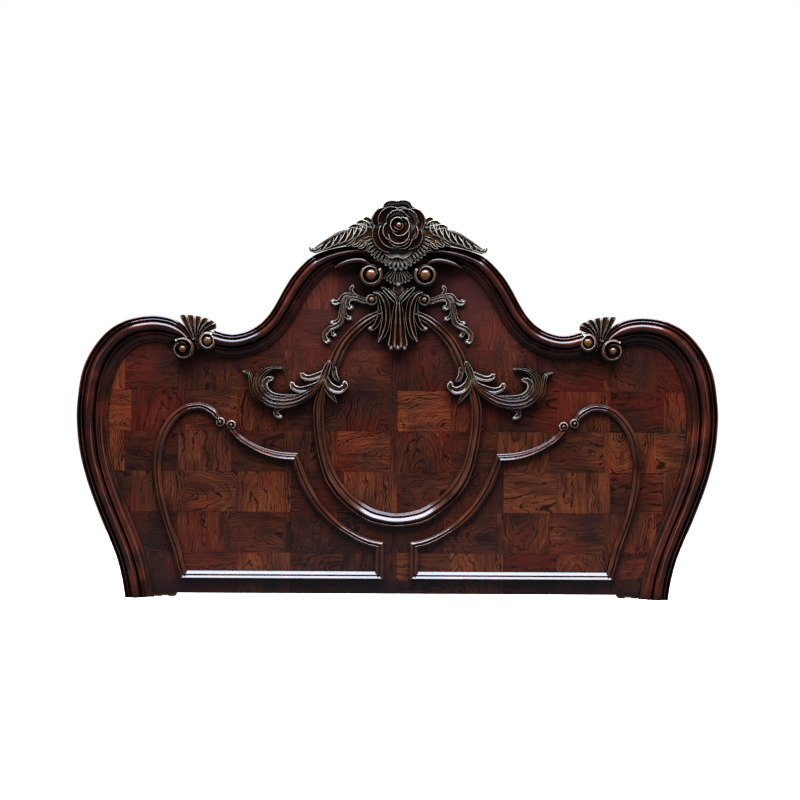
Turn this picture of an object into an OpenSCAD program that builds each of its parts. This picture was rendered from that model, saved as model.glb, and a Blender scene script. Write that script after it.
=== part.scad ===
// Carved headboard for a double bed.
// X runs across the bed, Z is up and the show face looks along -Y.
// The origin is on the floor, at the middle of the headboard's footprint.
// Elevation shapes are drawn in a u,z plane, where u is the distance from the centre line.
// Depths are heights above the veneered face, positive towards the sleeper.

/* [Board] */
// Thickness of the core board
board_t = 18; // [15:1:25]
// Thickness of the parquet veneer
veneer_t = 1.5; // [1:0.5:3]
// Height of the board's lower edge above the floor
board_lift = 12; // [8:1:20]

/* [Mouldings] */
// How proud the big frame mouldings stand of the veneer
frame_h = 42; // [34:1:46]
// How proud the two panel mouldings stand of the veneer
panel_h = 17; // [12:1:22]
// How proud the oval moulding stands of the veneer
oval_h = 21; // [16:1:26]
// How proud the two oval branches stand of the veneer
branch_h = 19; // [14:1:24]

/* [Carvings] */
// How proud the rose's bud stands of the veneer
rose_proud = 80; // [72:1:90]
// How proud the big cartouche volutes stand of the veneer
volute_h = 47; // [40:1:52]
// How proud the acanthus pendant stands of the veneer
pendant_h = 38; // [30:1:44]
// How proud the acanthus sprays stand of the veneer
spray_h = 26; // [18:1:32]
// How proud the small sprigs stand of the veneer
sprig_h = 17; // [12:1:24]

/* [Rear frame] */
// Thickness of the struts and rails behind the board
strut_t = 30; // [25:1:40]
// Width of each strut
strut_w = 70; // [60:5:90]
// Distance between the two struts' centre lines
strut_pitch = 1400; // [1360:10:1420]
// Height of the struts' upper ends
strut_top = 700; // [640:10:720]
// Height between the two bolt holes in each strut
bolt_rise = 90; // [60:10:120]
// Height of the middle of each pair of bolt holes
bolt_z = 260; // [220:10:300]
// Radius of the inserts' M8 bore
bolt_r = 4; // [3:0.5:5]

/* [Hidden] */

// Depth of everything behind the veneered face, and the place of that face in Y
back_d = veneer_t + board_t;
face_y = (rose_proud - back_d - strut_t) / 2;

// Colours of the finishes
lacquer = [0.13, 0.07, 0.05];
worn_lacquer = [0.30, 0.16, 0.09];
parquet_tone = [0.40, 0.17, 0.09];
raw_beech = [0.70, 0.54, 0.36];
zinc = [0.72, 0.72, 0.70];
nylon = [0.10, 0.10, 0.10];

// Part of a frame moulding's width that hangs over the board's edge
rebate = 0.3;
// The board's edge under the shoulder leaf, between the two frame mouldings
shoulder_bridge = [[600, 781], [575, 786]];

// Rails of the side moulding from the foot to the scroll: [outer edge, inner edge]
side_rails = [
    [[813, 0], [727, 0]], [[822, 55], [739, 62]], [[838, 118], [756, 125]], [[862, 180], [779, 190]],
    [[897, 265], [813, 273]], [[928, 350], [843, 355]], [[951, 440], [862, 432]], [[960, 530], [870, 515]],
    [[957, 600], [868, 585]], [[944, 678], [855, 652]], [[915, 742], [832, 706]], [[868, 798], [800, 742]],
    [[810, 832], [768, 760]], [[745, 845], [734, 767]], [[694, 841], [705, 765]], [[660, 828], [684, 762]],
    [[634, 806], [672, 770]], [[617, 780], [658, 778]]];

// Rails of the crown moulding from the crest block to its scroll
crown_rails = [
    [[70, 1062], [70, 1008]], [[130, 1059], [128, 1010]], [[190, 1049], [166, 1000]],
    [[230, 1037], [202, 984]], [[262, 1022], [232, 960]], [[292, 994], [256, 932]], [[320, 960], [278, 898]],
    [[343, 923], [300, 858]], [[364, 884], [322, 822]], [[387, 848], [348, 789]], [[415, 820], [382, 758]],
    [[452, 800], [424, 736]], [[490, 791], [466, 724]], [[520, 794], [506, 720]], [[539, 800], [539, 724]]];

// Rails of the right half of the oval from its upper end to the lowest point
oval_rails = [
    [[232, 640], [205, 640]], [[246, 607], [213, 610]], [[254, 561], [219, 560]], [[252, 507], [217, 505]],
    [[244, 450], [210, 453]], [[230, 391], [196, 402]], [[209, 338], [171, 356]], [[165, 284], [134, 311]],
    [[98, 234], [82, 274]], [[48, 218], [40, 260]], [[0, 213], [0, 255]]];

// Rails of the branch that leads from the pendant to the acanthus spray
branch_rails = [
    [[46, 868], [51, 840]], [[71, 860], [73, 828]], [[103, 844], [99, 807]], [[143, 812], [127, 780]],
    [[178, 771], [150, 747]], [[202, 727], [168, 706]], [[215, 685], [180, 672]]];

// Rails of the five mouldings round each lower panel, in order round the panel
arch_rails = [
    [[651, 53], [630, 80]], [[662, 90], [637, 100]], [[678, 145], [652, 160]], [[704, 225], [680, 230]],
    [[726, 310], [701, 310]], [[735, 385], [709, 385]], [[729, 448], [704, 444]], [[713, 500], [688, 492]],
    [[680, 550], [659, 534]], [[637, 579], [628, 557]], [[593, 586], [592, 562]], [[560, 575], [569, 551]],
    [[541, 558], [555, 541]]];
slope_rails = [
    [[485, 503], [507, 503]], [[462, 481], [481, 474]], [[424, 459], [438, 446]], [[386, 445], [393, 425]],
    [[346, 437], [350, 414]], [[299, 434], [315, 411]]];
inner_rails = [
    [[299, 434], [315, 411]], [[284, 394], [304, 375]], [[266, 352], [290, 337]], [[239, 304], [266, 294]],
    [[207, 261], [232, 250]], [[167, 224], [189, 211]], [[122, 196], [141, 180]], [[80, 178], [102, 159]],
    [[38, 169], [65, 148]]];
post_rails = [[[38, 169], [65, 148]], [[38, 53], [65, 80]]];
base_rails = [[[38, 53], [65, 80]], [[651, 53], [630, 80]]];

// Scroll centres and radii: [u, z, radius, boss radius]
side_scroll = [646, 744, 33, 15];
crown_scroll = [569, 770, 30, 16];
big_volute = [81, 970, 37, 19];
small_volute = [79, 896, 19, 10.5];
arch_scroll = [532, 527, 14.5, 8];
slope_scroll = [499, 518, 14.5, 8];

// Strands of the acanthus spray: [spine, half width at the root, in the middle and at the tip, height]
spray_strands = [
    [[[206, 706], [214, 684], [222, 662], [232, 644]], [7, 10, 9], 1],
    [[[213, 694], [222, 678], [240, 667], [262, 659], [280, 661], [289, 668]], [3, 8, 7], 0.8],
    [[[221, 664], [238, 643], [262, 629], [290, 622], [312, 628], [320, 640]], [4, 9, 7], 0.85],
    [[[227, 650], [257, 620], [302, 594], [345, 586], [385, 593], [412, 619], [419, 648], [408, 672],
        [386, 686], [353, 688]], [8, 13, 4], 1],
    [[[300, 600], [345, 597], [379, 602], [397, 618], [402, 640], [394, 654], [380, 658]], [6, 9, 5], 0.9],
    [[[382, 580], [413, 592], [430, 616], [435, 645], [440, 668], [464, 678]], [3, 7, 3], 0.75],
    [[[262, 606], [299, 587], [340, 575], [361, 566], [364, 552], [352, 543]], [5, 7, 7], 0.7],
    [[[215, 668], [209, 645], [194, 628], [174, 622], [156, 634], [158, 647]], [6, 11, 6], 0.9],
    [[[190, 690], [188, 668], [179, 654]], [6, 7, 6], 0.7],
    [[[220, 645], [210, 627], [196, 606], [184, 588]], [7, 8, 1.5], 0.7]];

// Strands of the sprig beside the small volute
sprig_strands = [
    [[[100, 899], [118, 904], [134, 912], [141, 926], [136, 936]], [3, 4, 4], 0.8],
    [[[128, 906], [151, 911], [166, 905], [174, 893], [187, 886], [196, 891]], [3, 5, 6], 0.9],
    [[[160, 904], [166, 886], [171, 862], [175, 842], [186, 828], [198, 827]], [3, 4, 5], 0.8],
    [[[156, 900], [163, 880], [166, 852], [170, 830], [184, 817], [206, 807], [219, 792], [217, 775],
        [209, 771]], [4, 6, 6], 1],
    [[[186, 814], [195, 802], [195, 792], [189, 789]], [3, 3, 5], 0.8],
    [[[100, 888], [120, 896], [140, 899], [151, 889], [149, 876], [140, 872]], [4, 5, 6], 0.9],
    [[[160, 882], [160, 860], [154, 845], [144, 839]], [3, 3, 6], 0.8]];

// Strands of the pendant: the long C band, the short outer band, both mirrored about the centre line
pendant_strands = [
    [[[78, 917], [60, 917], [43, 905], [32, 880], [28, 850], [31, 816], [41, 788], [55, 768]], [5, 9, 3], 0.85],
    [[[57, 893], [50, 870], [50, 842], [60, 820], [74, 808], [84, 808]], [4, 6, 6.5], 0.7]];
pendant_lobe = [[12, 880], [17, 850], [21, 820], [24, 793], [29, 772], [29, 756], [22, 748], [8, 746]];

// Outline of the crest leaf, from its curled tip along the top edge and back along the lower edge
crest_leaf_outline = [
    [268, 1040], [266, 1055], [258, 1053], [256, 1042], [243, 1051], [220, 1066], [199, 1082], [180, 1092],
    [159, 1100], [149, 1111], [129, 1113], [128, 1121], [107, 1124], [104, 1134], [82, 1138], [70, 1120],
    [70, 1048], [116, 1046], [136, 1054], [155, 1054], [190, 1046], [223, 1038], [246, 1030]];
crest_leaf_d = [28, 56];

// Outline of the shoulder leaf: root between the two scrolls, then the five flute tips
shoulder_outline = [
    [597, 745], [612, 775], [632, 806], [651, 845], [636, 846], [628, 838], [616, 843], [606, 836],
    [596, 838], [585, 830], [574, 833], [564, 825], [553, 825], [545, 815], [548, 805], [575, 806], [596, 790]];

// Block behind the rose: width, radius of its round top and height of its lower edge
block_w = 140;
block_r = 70;
block_bottom = 1008;
// Neck that hangs below the block and carries the feathers' tips: width and height of its lower edge
neck_w = 86;
neck_bottom = 978;
// Palmette: height of its root, then its knob's height and radius
palmette_z = 986;
knob_z = 952;
knob_r = 11;
// Collar over the head of the pendant: the right arm
collar_arm = [[0, 883], [14, 890], [30, 907], [46, 929], [34, 925], [22, 914], [10, 906], [0, 903]];

// Rose: centre height, then [petals, ring radius, petal radius, lower depth, upper depth] for each tier
rose_z = 1105;
feather_d = [41, 47];
rose_tiers = [[8, 58, 31, feather_d[1], 58], [6, 42, 25, 58, 67], [5, 27, 18, 67, 74]];
bud_r = 16;

// Section of a frame moulding: [part of the width, part of the height]
frame_section = [[0, 0.3], [0.05, 0.78], [0.12, 0.62], [0.28, 1], [0.36, 0.74], [0.5, 0.9], [0.69, 0.6],
    [0.79, 0.7], [0.93, 0.22], [1, 0.14]];
// Section of the panel, oval and branch mouldings
small_section = [[0, 0.45], [0.1, 0.8], [0.24, 0.62], [0.46, 1], [0.66, 0.8], [0.82, 0.62], [1, 0.3]];

// Spline steps between two stations of a moulding and between two points of a strand
rail_steps = 3;
strand_steps = 3;

// ---------- Helpers ----------

// Point at t between p[i] and p[i + 1] on a smooth curve through all the points
function spline_point(p, i, t) =
    let (b = p[i], c = p[i + 1],
         a = i > 0 ? p[i - 1] : 2 * b - c,
         d = i < len(p) - 2 ? p[i + 2] : 2 * c - b)
    0.5 * (2 * b + (c - a) * t + (2 * a - 5 * b + 4 * c - d) * t * t + (3 * b - a - 3 * c + d) * t * t * t);

function smooth_path(p, steps) =
    [for (i = [0 : len(p) - 2]) for (k = [0 : steps - 1]) spline_point(p, i, k / steps), p[len(p) - 1]];

function rail(stations, side) = smooth_path([for (s = stations) s[side]], rail_steps);

function mix(a, b, t) = a + (b - a) * t;

// Line at part t of the width between the two rails
function between(stations, t) =
    let (a = rail(stations, 0), b = rail(stations, 1)) [for (i = [0 : len(a) - 1]) mix(a[i], b[i], t)];

function reversed(p) = [for (i = [len(p) - 1 : -1 : 0]) p[i]];

function mirrored(p) = [for (q = p) [-q[0], q[1]]];

// Puts children drawn in the u,z plane between two depths
module between_depths(d0, d1) {
    translate([0, face_y - d0, 0]) rotate([90, 0, 0]) linear_extrude(d1 - d0) children();
}

// side is 1 for the right half and -1 for the left half
module on_side(side) {
    if (side < 0) mirror([1, 0, 0]) children();
    else children();
}

// Moulding with the given section, a list of [part of the width, depth], bent between two lines
module bent_moulding(outer, inner, section) {
    rings = len(outer);
    n = len(section);
    points = [for (i = [0 : rings - 1]) for (s = section)
        let (q = mix(outer[i], inner[i], s[0])) [q[0], face_y - s[1], q[1]]];
    walls = [for (i = [0 : rings - 2]) for (k = [0 : n - 1])
        let (a = i * n + k, b = i * n + (k + 1) % n, c = b + n, d = a + n) each [[a, b, c], [a, c, d]]];
    polyhedron(points, concat(walls, [[for (k = [n - 1 : -1 : 0]) k], [for (k = [0 : n - 1]) (rings - 1) * n + k]]));
}

function solid_section(profile, height) =
    concat([[0, 0]], [for (p = profile) [p[0], p[1] * height]], [[1, 0]]);

function rebated_section(profile, height) =
    concat([[0, -back_d]], [for (p = profile) [p[0], p[1] * height]], [[1, 0], [rebate, 0], [rebate, -back_d]]);

module rail_moulding(stations, section) {
    bent_moulding(rail(stations, 0), rail(stations, 1), section);
}

// Flat footprint of a moulding
module footprint(stations) {
    polygon(concat(rail(stations, 0), reversed(rail(stations, 1))));
}

// Half width of a strand at part t of its length: w is [root, middle, tip]
function strand_w(w, t) = t < 0.5 ? mix(w[0], w[1], sin(180 * t)) : mix(w[2], w[1], sin(180 * t));

// Tapering strand with a round root and tip
module strand_shape(points, w) {
    p = smooth_path(points, strand_steps);
    n = len(p) - 1;
    dir = [for (i = [0 : n]) let (v = p[min(i + 1, n)] - p[max(i - 1, 0)]) v / norm(v)];
    edge = [for (k = [1, -1]) [for (i = [0 : n]) p[i] + k * strand_w(w, i / n) * [-dir[i][1], dir[i][0]]]];
    polygon(concat(edge[0], reversed(edge[1])));
    translate(p[0]) circle(w[0], $fn = 24);
    translate(p[n]) circle(w[2], $fn = 24);
}

module strands(list, height) {
    for (s = list) between_depths(0, height * s[2]) strand_shape(s[0], s[1]);
}

// Stepped scroll: a drum with a raised rim round its boss
module scroll(place, height, floor_part = 0.7, base_d = 0) {
    rim = place[2] * 0.16;
    translate([place[0], face_y, place[1]]) rotate([90, 0, 0]) difference() {
        translate([0, 0, base_d]) cylinder(r = place[2], h = height - base_d, $fn = 64);
        translate([0, 0, height * floor_part]) difference() {
            cylinder(r = place[2] - rim, h = height, $fn = 64);
            translate([0, 0, -1]) cylinder(r = place[3], h = height * (0.85 - floor_part) + 1, $fn = 64);
        }
    }
}

// Half ball on top of a scroll's drum
module boss(place, height) {
    seat = height * 0.85;
    translate([place[0], face_y - seat, place[1]]) rotate([90, 0, 0]) intersection() {
        sphere(r = place[3], $fn = 48);
        cylinder(r = place[3] + 1, h = place[3] + 1, $fn = 48);
    }
}

// ---------- Board ----------

// Outline of the right half of the board, from the foot over the shoulder to the centre line
board_edge = concat(
    [[between(side_rails, rebate)[0][0], board_lift]],
    [for (q = between(side_rails, rebate)) if (q[1] > board_lift) q],
    shoulder_bridge,
    reversed(between(crown_rails, rebate)));

module board_outline() {
    polygon(concat([[0, board_lift]], board_edge, reversed(mirrored(board_edge))));
}

module core_board() {
    color(raw_beech) difference() {
        between_depths(-back_d, -veneer_t) board_outline();
        for (p = screw_places) rear_hole(p, 1.75, 14, strut_t);
    }
}

module parquet_veneer() {
    color(parquet_tone) between_depths(-veneer_t, 0) board_outline();
}

// ---------- Frame mouldings and scrolls ----------

module side_moulding(side) {
    color(lacquer) on_side(side) rail_moulding(side_rails, rebated_section(frame_section, frame_h));
}

module crown_moulding(side) {
    color(lacquer) on_side(side) rail_moulding(crown_rails, rebated_section(frame_section, frame_h));
}

module side_scroll_drum(side) {
    color(lacquer) on_side(side) scroll(side_scroll, volute_h);
}

module crown_scroll_drum(side) {
    color(lacquer) on_side(side) scroll(crown_scroll, volute_h);
}

// Fluted leaf that fills the gap between the two scrolls of a shoulder
module shoulder_leaf(side) {
    color(lacquer) on_side(side) between_depths(0, frame_h) difference() {
        polygon(shoulder_outline);
        footprint(side_rails);
        translate([side_scroll[0], side_scroll[1]]) circle(side_scroll[2], $fn = 64);
        translate([crown_scroll[0], crown_scroll[1]]) circle(crown_scroll[2], $fn = 64);
    }
}

// ---------- Crest ----------

// Block behind the rose that joins the two crown mouldings
module crest_block() {
    color(lacquer) {
        between_depths(0, feather_d[0]) crest_block_outline(block_bottom);
        between_depths(-back_d, 0) crest_block_outline(mix(crown_rails[0][0][1], block_bottom, rebate));
    }
}

module crest_block_outline(bottom) {
    intersection() {
        translate([-block_w / 2, bottom]) square([block_w, 200]);
        union() {
            translate([0, rose_z]) circle(block_r, $fn = 64);
            translate([-block_w / 2, bottom]) square([block_w, rose_z - bottom]);
        }
    }
}

module crest_rose() {
    color(lacquer) {
        for (tier = rose_tiers) between_depths(tier[3], tier[4]) translate([0, rose_z]) {
            circle(tier[1], $fn = 48);
            for (k = [0 : tier[0] - 1])
                rotate(90 + k * 360 / tier[0]) translate([tier[1], 0]) circle(tier[2], $fn = 32);
        }
        translate([0, face_y - rose_tiers[2][4], rose_z]) rotate([90, 0, 0])
            cylinder(r = bud_r, h = rose_proud - rose_tiers[2][4], $fn = 48);
    }
}

// Radial feathers that show below the rose
module crest_feathers() {
    feathers = 21;
    color(lacquer) {
        between_depths(feather_d[0], feather_d[1]) translate([0, rose_z]) {
            circle(86, $fn = 64);
            intersection() {
                union() {
                    circle(100, $fn = 64);
                    for (k = [0 : feathers - 1])
                        rotate(-180 + k * 180 / (feathers - 1)) translate([101, 0]) circle(8, $fn = 16);
                }
                translate([-120, -120]) square([240, 120]);
            }
        }
        between_depths(0, feather_d[0]) translate([-neck_w / 2, neck_bottom])
            square([neck_w, block_bottom - neck_bottom]);
    }
}

// Seven ribbed palmette with its knob, below the feathers
module crest_palmette() {
    ribs = 7;
    color(lacquer) {
        between_depths(0, 34) intersection() {
            translate([0, palmette_z]) for (k = [0 : ribs - 1])
                rotate(-155 + k * 130 / (ribs - 1)) translate([17, 0]) circle(11, $fn = 20);
            translate([-neck_w / 2, 0]) square([neck_w, neck_bottom]);
        }
        between_depths(0, 26) translate([0, knob_z]) circle(knob_r, $fn = 32);
    }
}

module crest_leaf(side) {
    color(lacquer) on_side(side) {
        difference() {
            between_depths(crest_leaf_d[0], frame_h) polygon(crest_leaf_outline);
            between_depths(0, rose_proud) footprint(crown_rails);
        }
        difference() {
            between_depths(frame_h, crest_leaf_d[1]) polygon(crest_leaf_outline);
            between_depths(0, rose_proud) translate([0, rose_z]) circle(110, $fn = 64);
        }
    }
}

// ---------- Cartouche, pendant and sprigs ----------

module cartouche_volute(side) {
    color(lacquer) on_side(side) scroll(big_volute, volute_h);
}

module small_volute_drum(side) {
    color(lacquer) on_side(side) scroll(small_volute, 0.8 * pendant_h);
}

// V-shaped collar over the head of the pendant
module pendant_collar() {
    color(lacquer) between_depths(0, pendant_h * 0.9) {
        polygon(collar_arm);
        polygon(mirrored(collar_arm));
    }
}

module acanthus_pendant() {
    color(worn_lacquer) difference() {
        union() {
            between_depths(0, pendant_h) polygon(concat(pendant_lobe, reversed(mirrored(pendant_lobe))));
            for (side = [1, -1]) on_side(side) strands(pendant_strands, pendant_h);
        }
        // Seats of the collar and the small volutes
        between_depths(-1, pendant_h + 1) {
            polygon([[-46, 929], [-14, 890], [0, 883], [14, 890], [46, 929], [20, 960], [-20, 960]]);
            for (side = [1, -1]) translate([side * small_volute[0], small_volute[1]])
                circle(small_volute[2], $fn = 48);
        }
    }
}

module sprig(side) {
    color(lacquer) on_side(side) difference() {
        strands(sprig_strands, sprig_h);
        between_depths(-1, sprig_h + 1) translate([small_volute[0], small_volute[1]])
            circle(small_volute[2], $fn = 48);
    }
}

// ---------- Oval, branches and sprays ----------

// The oval's two sides run on into each other below, so it is one moulding
full_oval_rails = concat(oval_rails, [for (i = [len(oval_rails) - 2 : -1 : 0]) mirrored(oval_rails[i])]);

module oval_moulding() {
    color(lacquer) rail_moulding(full_oval_rails, solid_section(small_section, oval_h));
}

module oval_branch(side) {
    color(worn_lacquer) on_side(side) rail_moulding(branch_rails, solid_section(small_section, branch_h));
}

// The spray lies over the ends of the branch and the oval, which are let into its back
module acanthus_spray(side) {
    color(lacquer) on_side(side) difference() {
        strands(spray_strands, spray_h);
        between_depths(-1, branch_h) footprint(branch_rails);
        between_depths(-1, oval_h) footprint(oval_rails);
    }
}

// ---------- Lower panels ----------

module panel_moulding(side, stations) {
    color(lacquer) on_side(side) rail_moulding(stations, solid_section(small_section, panel_h));
}

module panel_scrolls(side) {
    color(lacquer) on_side(side) for (s = [arch_scroll, slope_scroll]) scroll(s, panel_h);
}

// Half-ball buttons in the middle of all the scrolls
module turned_bosses() {
    color(worn_lacquer) for (side = [1, -1]) on_side(side) {
        for (s = [side_scroll, crown_scroll, big_volute]) boss(s, volute_h);
        boss(small_volute, 0.8 * pendant_h);
        for (s = [arch_scroll, slope_scroll]) boss(s, panel_h);
    }
}

// ---------- Rear frame ----------

strut_y = face_y + back_d;
glide_t = 3;
rail_w = 60;
rail_z = [590, 150];
rail_l = strut_pitch - strut_w;
insert_r = 6;
insert_l = 22;
screw_places = concat(
    [for (side = [1, -1]) for (z = [90, 330, 520, 660]) [side * strut_pitch / 2, z]],
    [for (x = [-450, -150, 150, 450]) for (z = rail_z) [x, z + rail_w / 2]]);
insert_places = [for (side = [1, -1]) for (k = [1, -1]) [side * strut_pitch / 2, bolt_z + k * bolt_rise / 2]];

// Round hole from the rear face forwards
module rear_hole(place, r, depth, start = 0) {
    translate([place[0], strut_y + strut_t - start + 1, place[1]]) rotate([90, 0, 0])
        cylinder(r = r, h = depth + 1, $fn = 32);
}

module countersink(place) {
    translate([place[0], strut_y + strut_t, place[1]]) rotate([90, 0, 0]) cylinder(r1 = 4.5, r2 = 2.25, h = 3, $fn = 32);
}

module strut(side) {
    color(raw_beech) difference() {
        translate([side * strut_pitch / 2 - strut_w / 2, strut_y, glide_t])
            cube([strut_w, strut_t, strut_top - glide_t]);
        for (p = screw_places) {
            rear_hole(p, 2.25, strut_t + 1);
            countersink(p);
        }
        for (p = insert_places) rear_hole(p, insert_r, insert_l);
    }
}

module rear_rail(z) {
    color(raw_beech) difference() {
        translate([-rail_l / 2, strut_y, z]) cube([rail_l, strut_t, rail_w]);
        for (p = screw_places) {
            rear_hole(p, 2.25, strut_t + 1);
            countersink(p);
        }
    }
}

// Screw-in nuts for the bed's or the wall's bolts
module bolt_inserts() {
    color(zinc) for (p = insert_places) difference() {
        translate([p[0], strut_y + strut_t, p[1]]) rotate([90, 0, 0]) cylinder(r = insert_r, h = insert_l, $fn = 32);
        rear_hole(p, bolt_r, insert_l - 2);
    }
}

// Countersunk wood screws through the struts and rails into the board
module rear_screws() {
    color(zinc) for (p = screw_places) translate([p[0], strut_y + strut_t, p[1]]) rotate([90, 0, 0]) difference() {
        union() {
            cylinder(r1 = 4.5, r2 = 2.25, h = 3, $fn = 32);
            cylinder(r = 2.25, h = strut_t, $fn = 32);
            cylinder(r = 1.75, h = strut_t + 13, $fn = 32);
        }
        translate([-3, -0.5, -1]) cube([6, 1, 2.2]);
        translate([-0.5, -3, -1]) cube([1, 6, 2.2]);
    }
}

// Nylon glides under the struts
module foot_glides() {
    color(nylon) for (side = [1, -1]) for (k = [-20, 20])
        translate([side * strut_pitch / 2 + k, strut_y + strut_t / 2, 0]) cylinder(r = 11, h = glide_t, $fn = 32);
}

core_board();
parquet_veneer();
side_moulding(-1);  // left_side_moulding
side_moulding(1);  // right_side_moulding
crown_moulding(-1);  // left_crown_moulding
crown_moulding(1);  // right_crown_moulding
side_scroll_drum(-1);  // left_side_scroll
side_scroll_drum(1);  // right_side_scroll
crown_scroll_drum(-1);  // left_crown_scroll
crown_scroll_drum(1);  // right_crown_scroll
shoulder_leaf(-1);  // left_shoulder_leaf
shoulder_leaf(1);  // right_shoulder_leaf
crest_block();
crest_rose();
crest_feathers();
crest_palmette();
crest_leaf(-1);  // left_crest_leaf
crest_leaf(1);  // right_crest_leaf
cartouche_volute(-1);  // left_cartouche_volute
cartouche_volute(1);  // right_cartouche_volute
small_volute_drum(-1);  // left_small_volute
small_volute_drum(1);  // right_small_volute
pendant_collar();
acanthus_pendant();
sprig(-1);  // left_sprig
sprig(1);  // right_sprig
oval_moulding();
oval_branch(-1);  // left_oval_branch
oval_branch(1);  // right_oval_branch
acanthus_spray(-1);  // left_acanthus_spray
acanthus_spray(1);  // right_acanthus_spray
panel_moulding(-1, arch_rails);  // left_arch_moulding
panel_moulding(1, arch_rails);  // right_arch_moulding
panel_moulding(-1, slope_rails);  // left_slope_moulding
panel_moulding(1, slope_rails);  // right_slope_moulding
panel_moulding(-1, inner_rails);  // left_inner_moulding
panel_moulding(1, inner_rails);  // right_inner_moulding
panel_moulding(-1, post_rails);  // left_post_moulding
panel_moulding(1, post_rails);  // right_post_moulding
panel_moulding(-1, base_rails);  // left_base_moulding
panel_moulding(1, base_rails);  // right_base_moulding
panel_scrolls(-1);  // left_panel_scrolls
panel_scrolls(1);  // right_panel_scrolls
turned_bosses();
strut(-1);  // left_strut
strut(1);  // right_strut
rear_rail(rail_z[0]);  // upper_rear_rail
rear_rail(rail_z[1]);  // lower_rear_rail
bolt_inserts();
rear_screws();
foot_glides();
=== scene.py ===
# %% [markdown]
# # A carved headboard
# This notebook dresses the imported model of a carved bed headboard. The real one is a veneered board
# with a moulded frame glued round it and carved ornaments glued on top. The CAD model gives every
# piece's place and size. Here each visible piece gets its carved surface and its finish.

# %% Load the imported model, with each part's transform applied to its mesh
import math
from functools import partial

import bmesh
import bpy
import numpy as np
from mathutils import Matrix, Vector


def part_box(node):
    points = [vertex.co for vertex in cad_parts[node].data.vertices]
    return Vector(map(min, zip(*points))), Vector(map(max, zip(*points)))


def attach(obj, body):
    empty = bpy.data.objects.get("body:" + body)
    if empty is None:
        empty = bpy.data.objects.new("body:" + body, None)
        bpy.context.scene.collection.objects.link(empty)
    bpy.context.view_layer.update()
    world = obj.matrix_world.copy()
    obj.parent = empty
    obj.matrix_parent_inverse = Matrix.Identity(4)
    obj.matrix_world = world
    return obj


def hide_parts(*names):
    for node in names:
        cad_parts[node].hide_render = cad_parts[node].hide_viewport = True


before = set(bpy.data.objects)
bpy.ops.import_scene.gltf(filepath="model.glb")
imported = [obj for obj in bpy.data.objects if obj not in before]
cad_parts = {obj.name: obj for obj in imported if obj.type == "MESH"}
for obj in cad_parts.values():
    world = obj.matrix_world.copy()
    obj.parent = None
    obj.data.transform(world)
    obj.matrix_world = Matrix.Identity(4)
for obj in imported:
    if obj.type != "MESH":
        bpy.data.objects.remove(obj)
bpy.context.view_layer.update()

# %% [markdown]
# ## The bench
# A carver works with the panel flat on a bench. So the shapes below are drawn in millimetres with
# x to the right, y up the headboard and z out of the veneer towards the carver. One function stands
# the finished mesh up in the frame: bench y becomes +Z and bench z becomes -Y.

# %% Depths that come from the CAD nodes
MM = 0.001
FACE_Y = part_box("parquet_veneer")[0].y


def height_of(name):
    """How proud a CAD node stands of the veneer, in millimetres."""
    return (FACE_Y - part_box(name)[0].y) / MM


BACK = (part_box("core_board")[1].y - FACE_Y) / MM
FRAME_H = height_of("left_side_moulding")
PANEL_H = height_of("left_base_moulding")
OVAL_H = height_of("oval_moulding")
BRANCH_H = height_of("left_oval_branch")
SPRAY_H = height_of("left_acanthus_spray")
SPRIG_H = height_of("left_sprig")
PENDANT_H = height_of("acanthus_pendant")
VOLUTE_H = height_of("left_cartouche_volute")
ROSE_H = height_of("crest_rose")
print("frame", round(FRAME_H, 1), "panel", round(PANEL_H, 1), "rose", round(ROSE_H, 1))


# %% [markdown]
# ## Colours and nodes
# Finishes are quoted as sRGB hex values, as a paint chart gives them, and Blender wants linear ones.
# One small function adds a node, sets it up and links its inputs, in shaders and in geometry.

# %% Colour and node helpers
def srgb(code):
    """Linear colour with alpha from a six digit sRGB hex code."""
    parts = [int(code[i : i + 2], 16) / 255 for i in (0, 2, 4)]
    return tuple(p / 12.92 if p <= 0.04045 else ((p + 0.055) / 1.055) ** 2.4 for p in parts) + (1,)


def feed(node, inputs):
    """Gives a node's inputs, by name or number, a value or another node's output."""
    for key, value in inputs.items():
        if isinstance(value, bpy.types.NodeSocket):
            node.id_data.links.new(value, node.inputs[key])
        else:
            node.inputs[key].default_value = value


def add(tree, kind, *inputs, out=0, stops=(), **settings):
    """Adds a node and returns one of its outputs, or the node itself if out is None.
    A kind in capitals is a step of arithmetic. The inputs come in order, or as one dict.
    The stops of a colour ramp are pairs of place and sRGB code."""
    if kind.isupper():
        kind, settings["operation"] = "Math", kind
    node = tree.nodes.new(kind if "Node" in kind else f"ShaderNode{kind}")
    for name, value in settings.items():
        setattr(node, name, value)
    feed(node, inputs[0] if inputs and isinstance(inputs[0], dict) else dict(enumerate(inputs)))
    if stops:
        bar = node.color_ramp.elements
        for _ in stops[len(bar):]:
            bar.new(1)
        for element, (place, code) in zip(bar, stops):
            element.position, element.color = place, srgb(code)
    return node if out is None else node.outputs[out]


# %% Materials and their coats
def new_finish(name):
    """A material, a function that adds nodes to it, and its shader."""
    material = bpy.data.materials.new(name)
    material.use_nodes = True
    tree = material.node_tree
    return material, partial(add, tree), tree.nodes["Principled BSDF"]


def coated(node, colour, *coats):
    """A colour under coats of stain, painted shade or painted highlight. A coat is its share, 0 to 1, and
    its own colour.
    """
    for share, over in coats:
        over = srgb(over) if isinstance(over, str) else over
        colour = node("Mix", {0: share, 6: colour, 7: over}, out=2, data_type="RGBA")
    return colour
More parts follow.
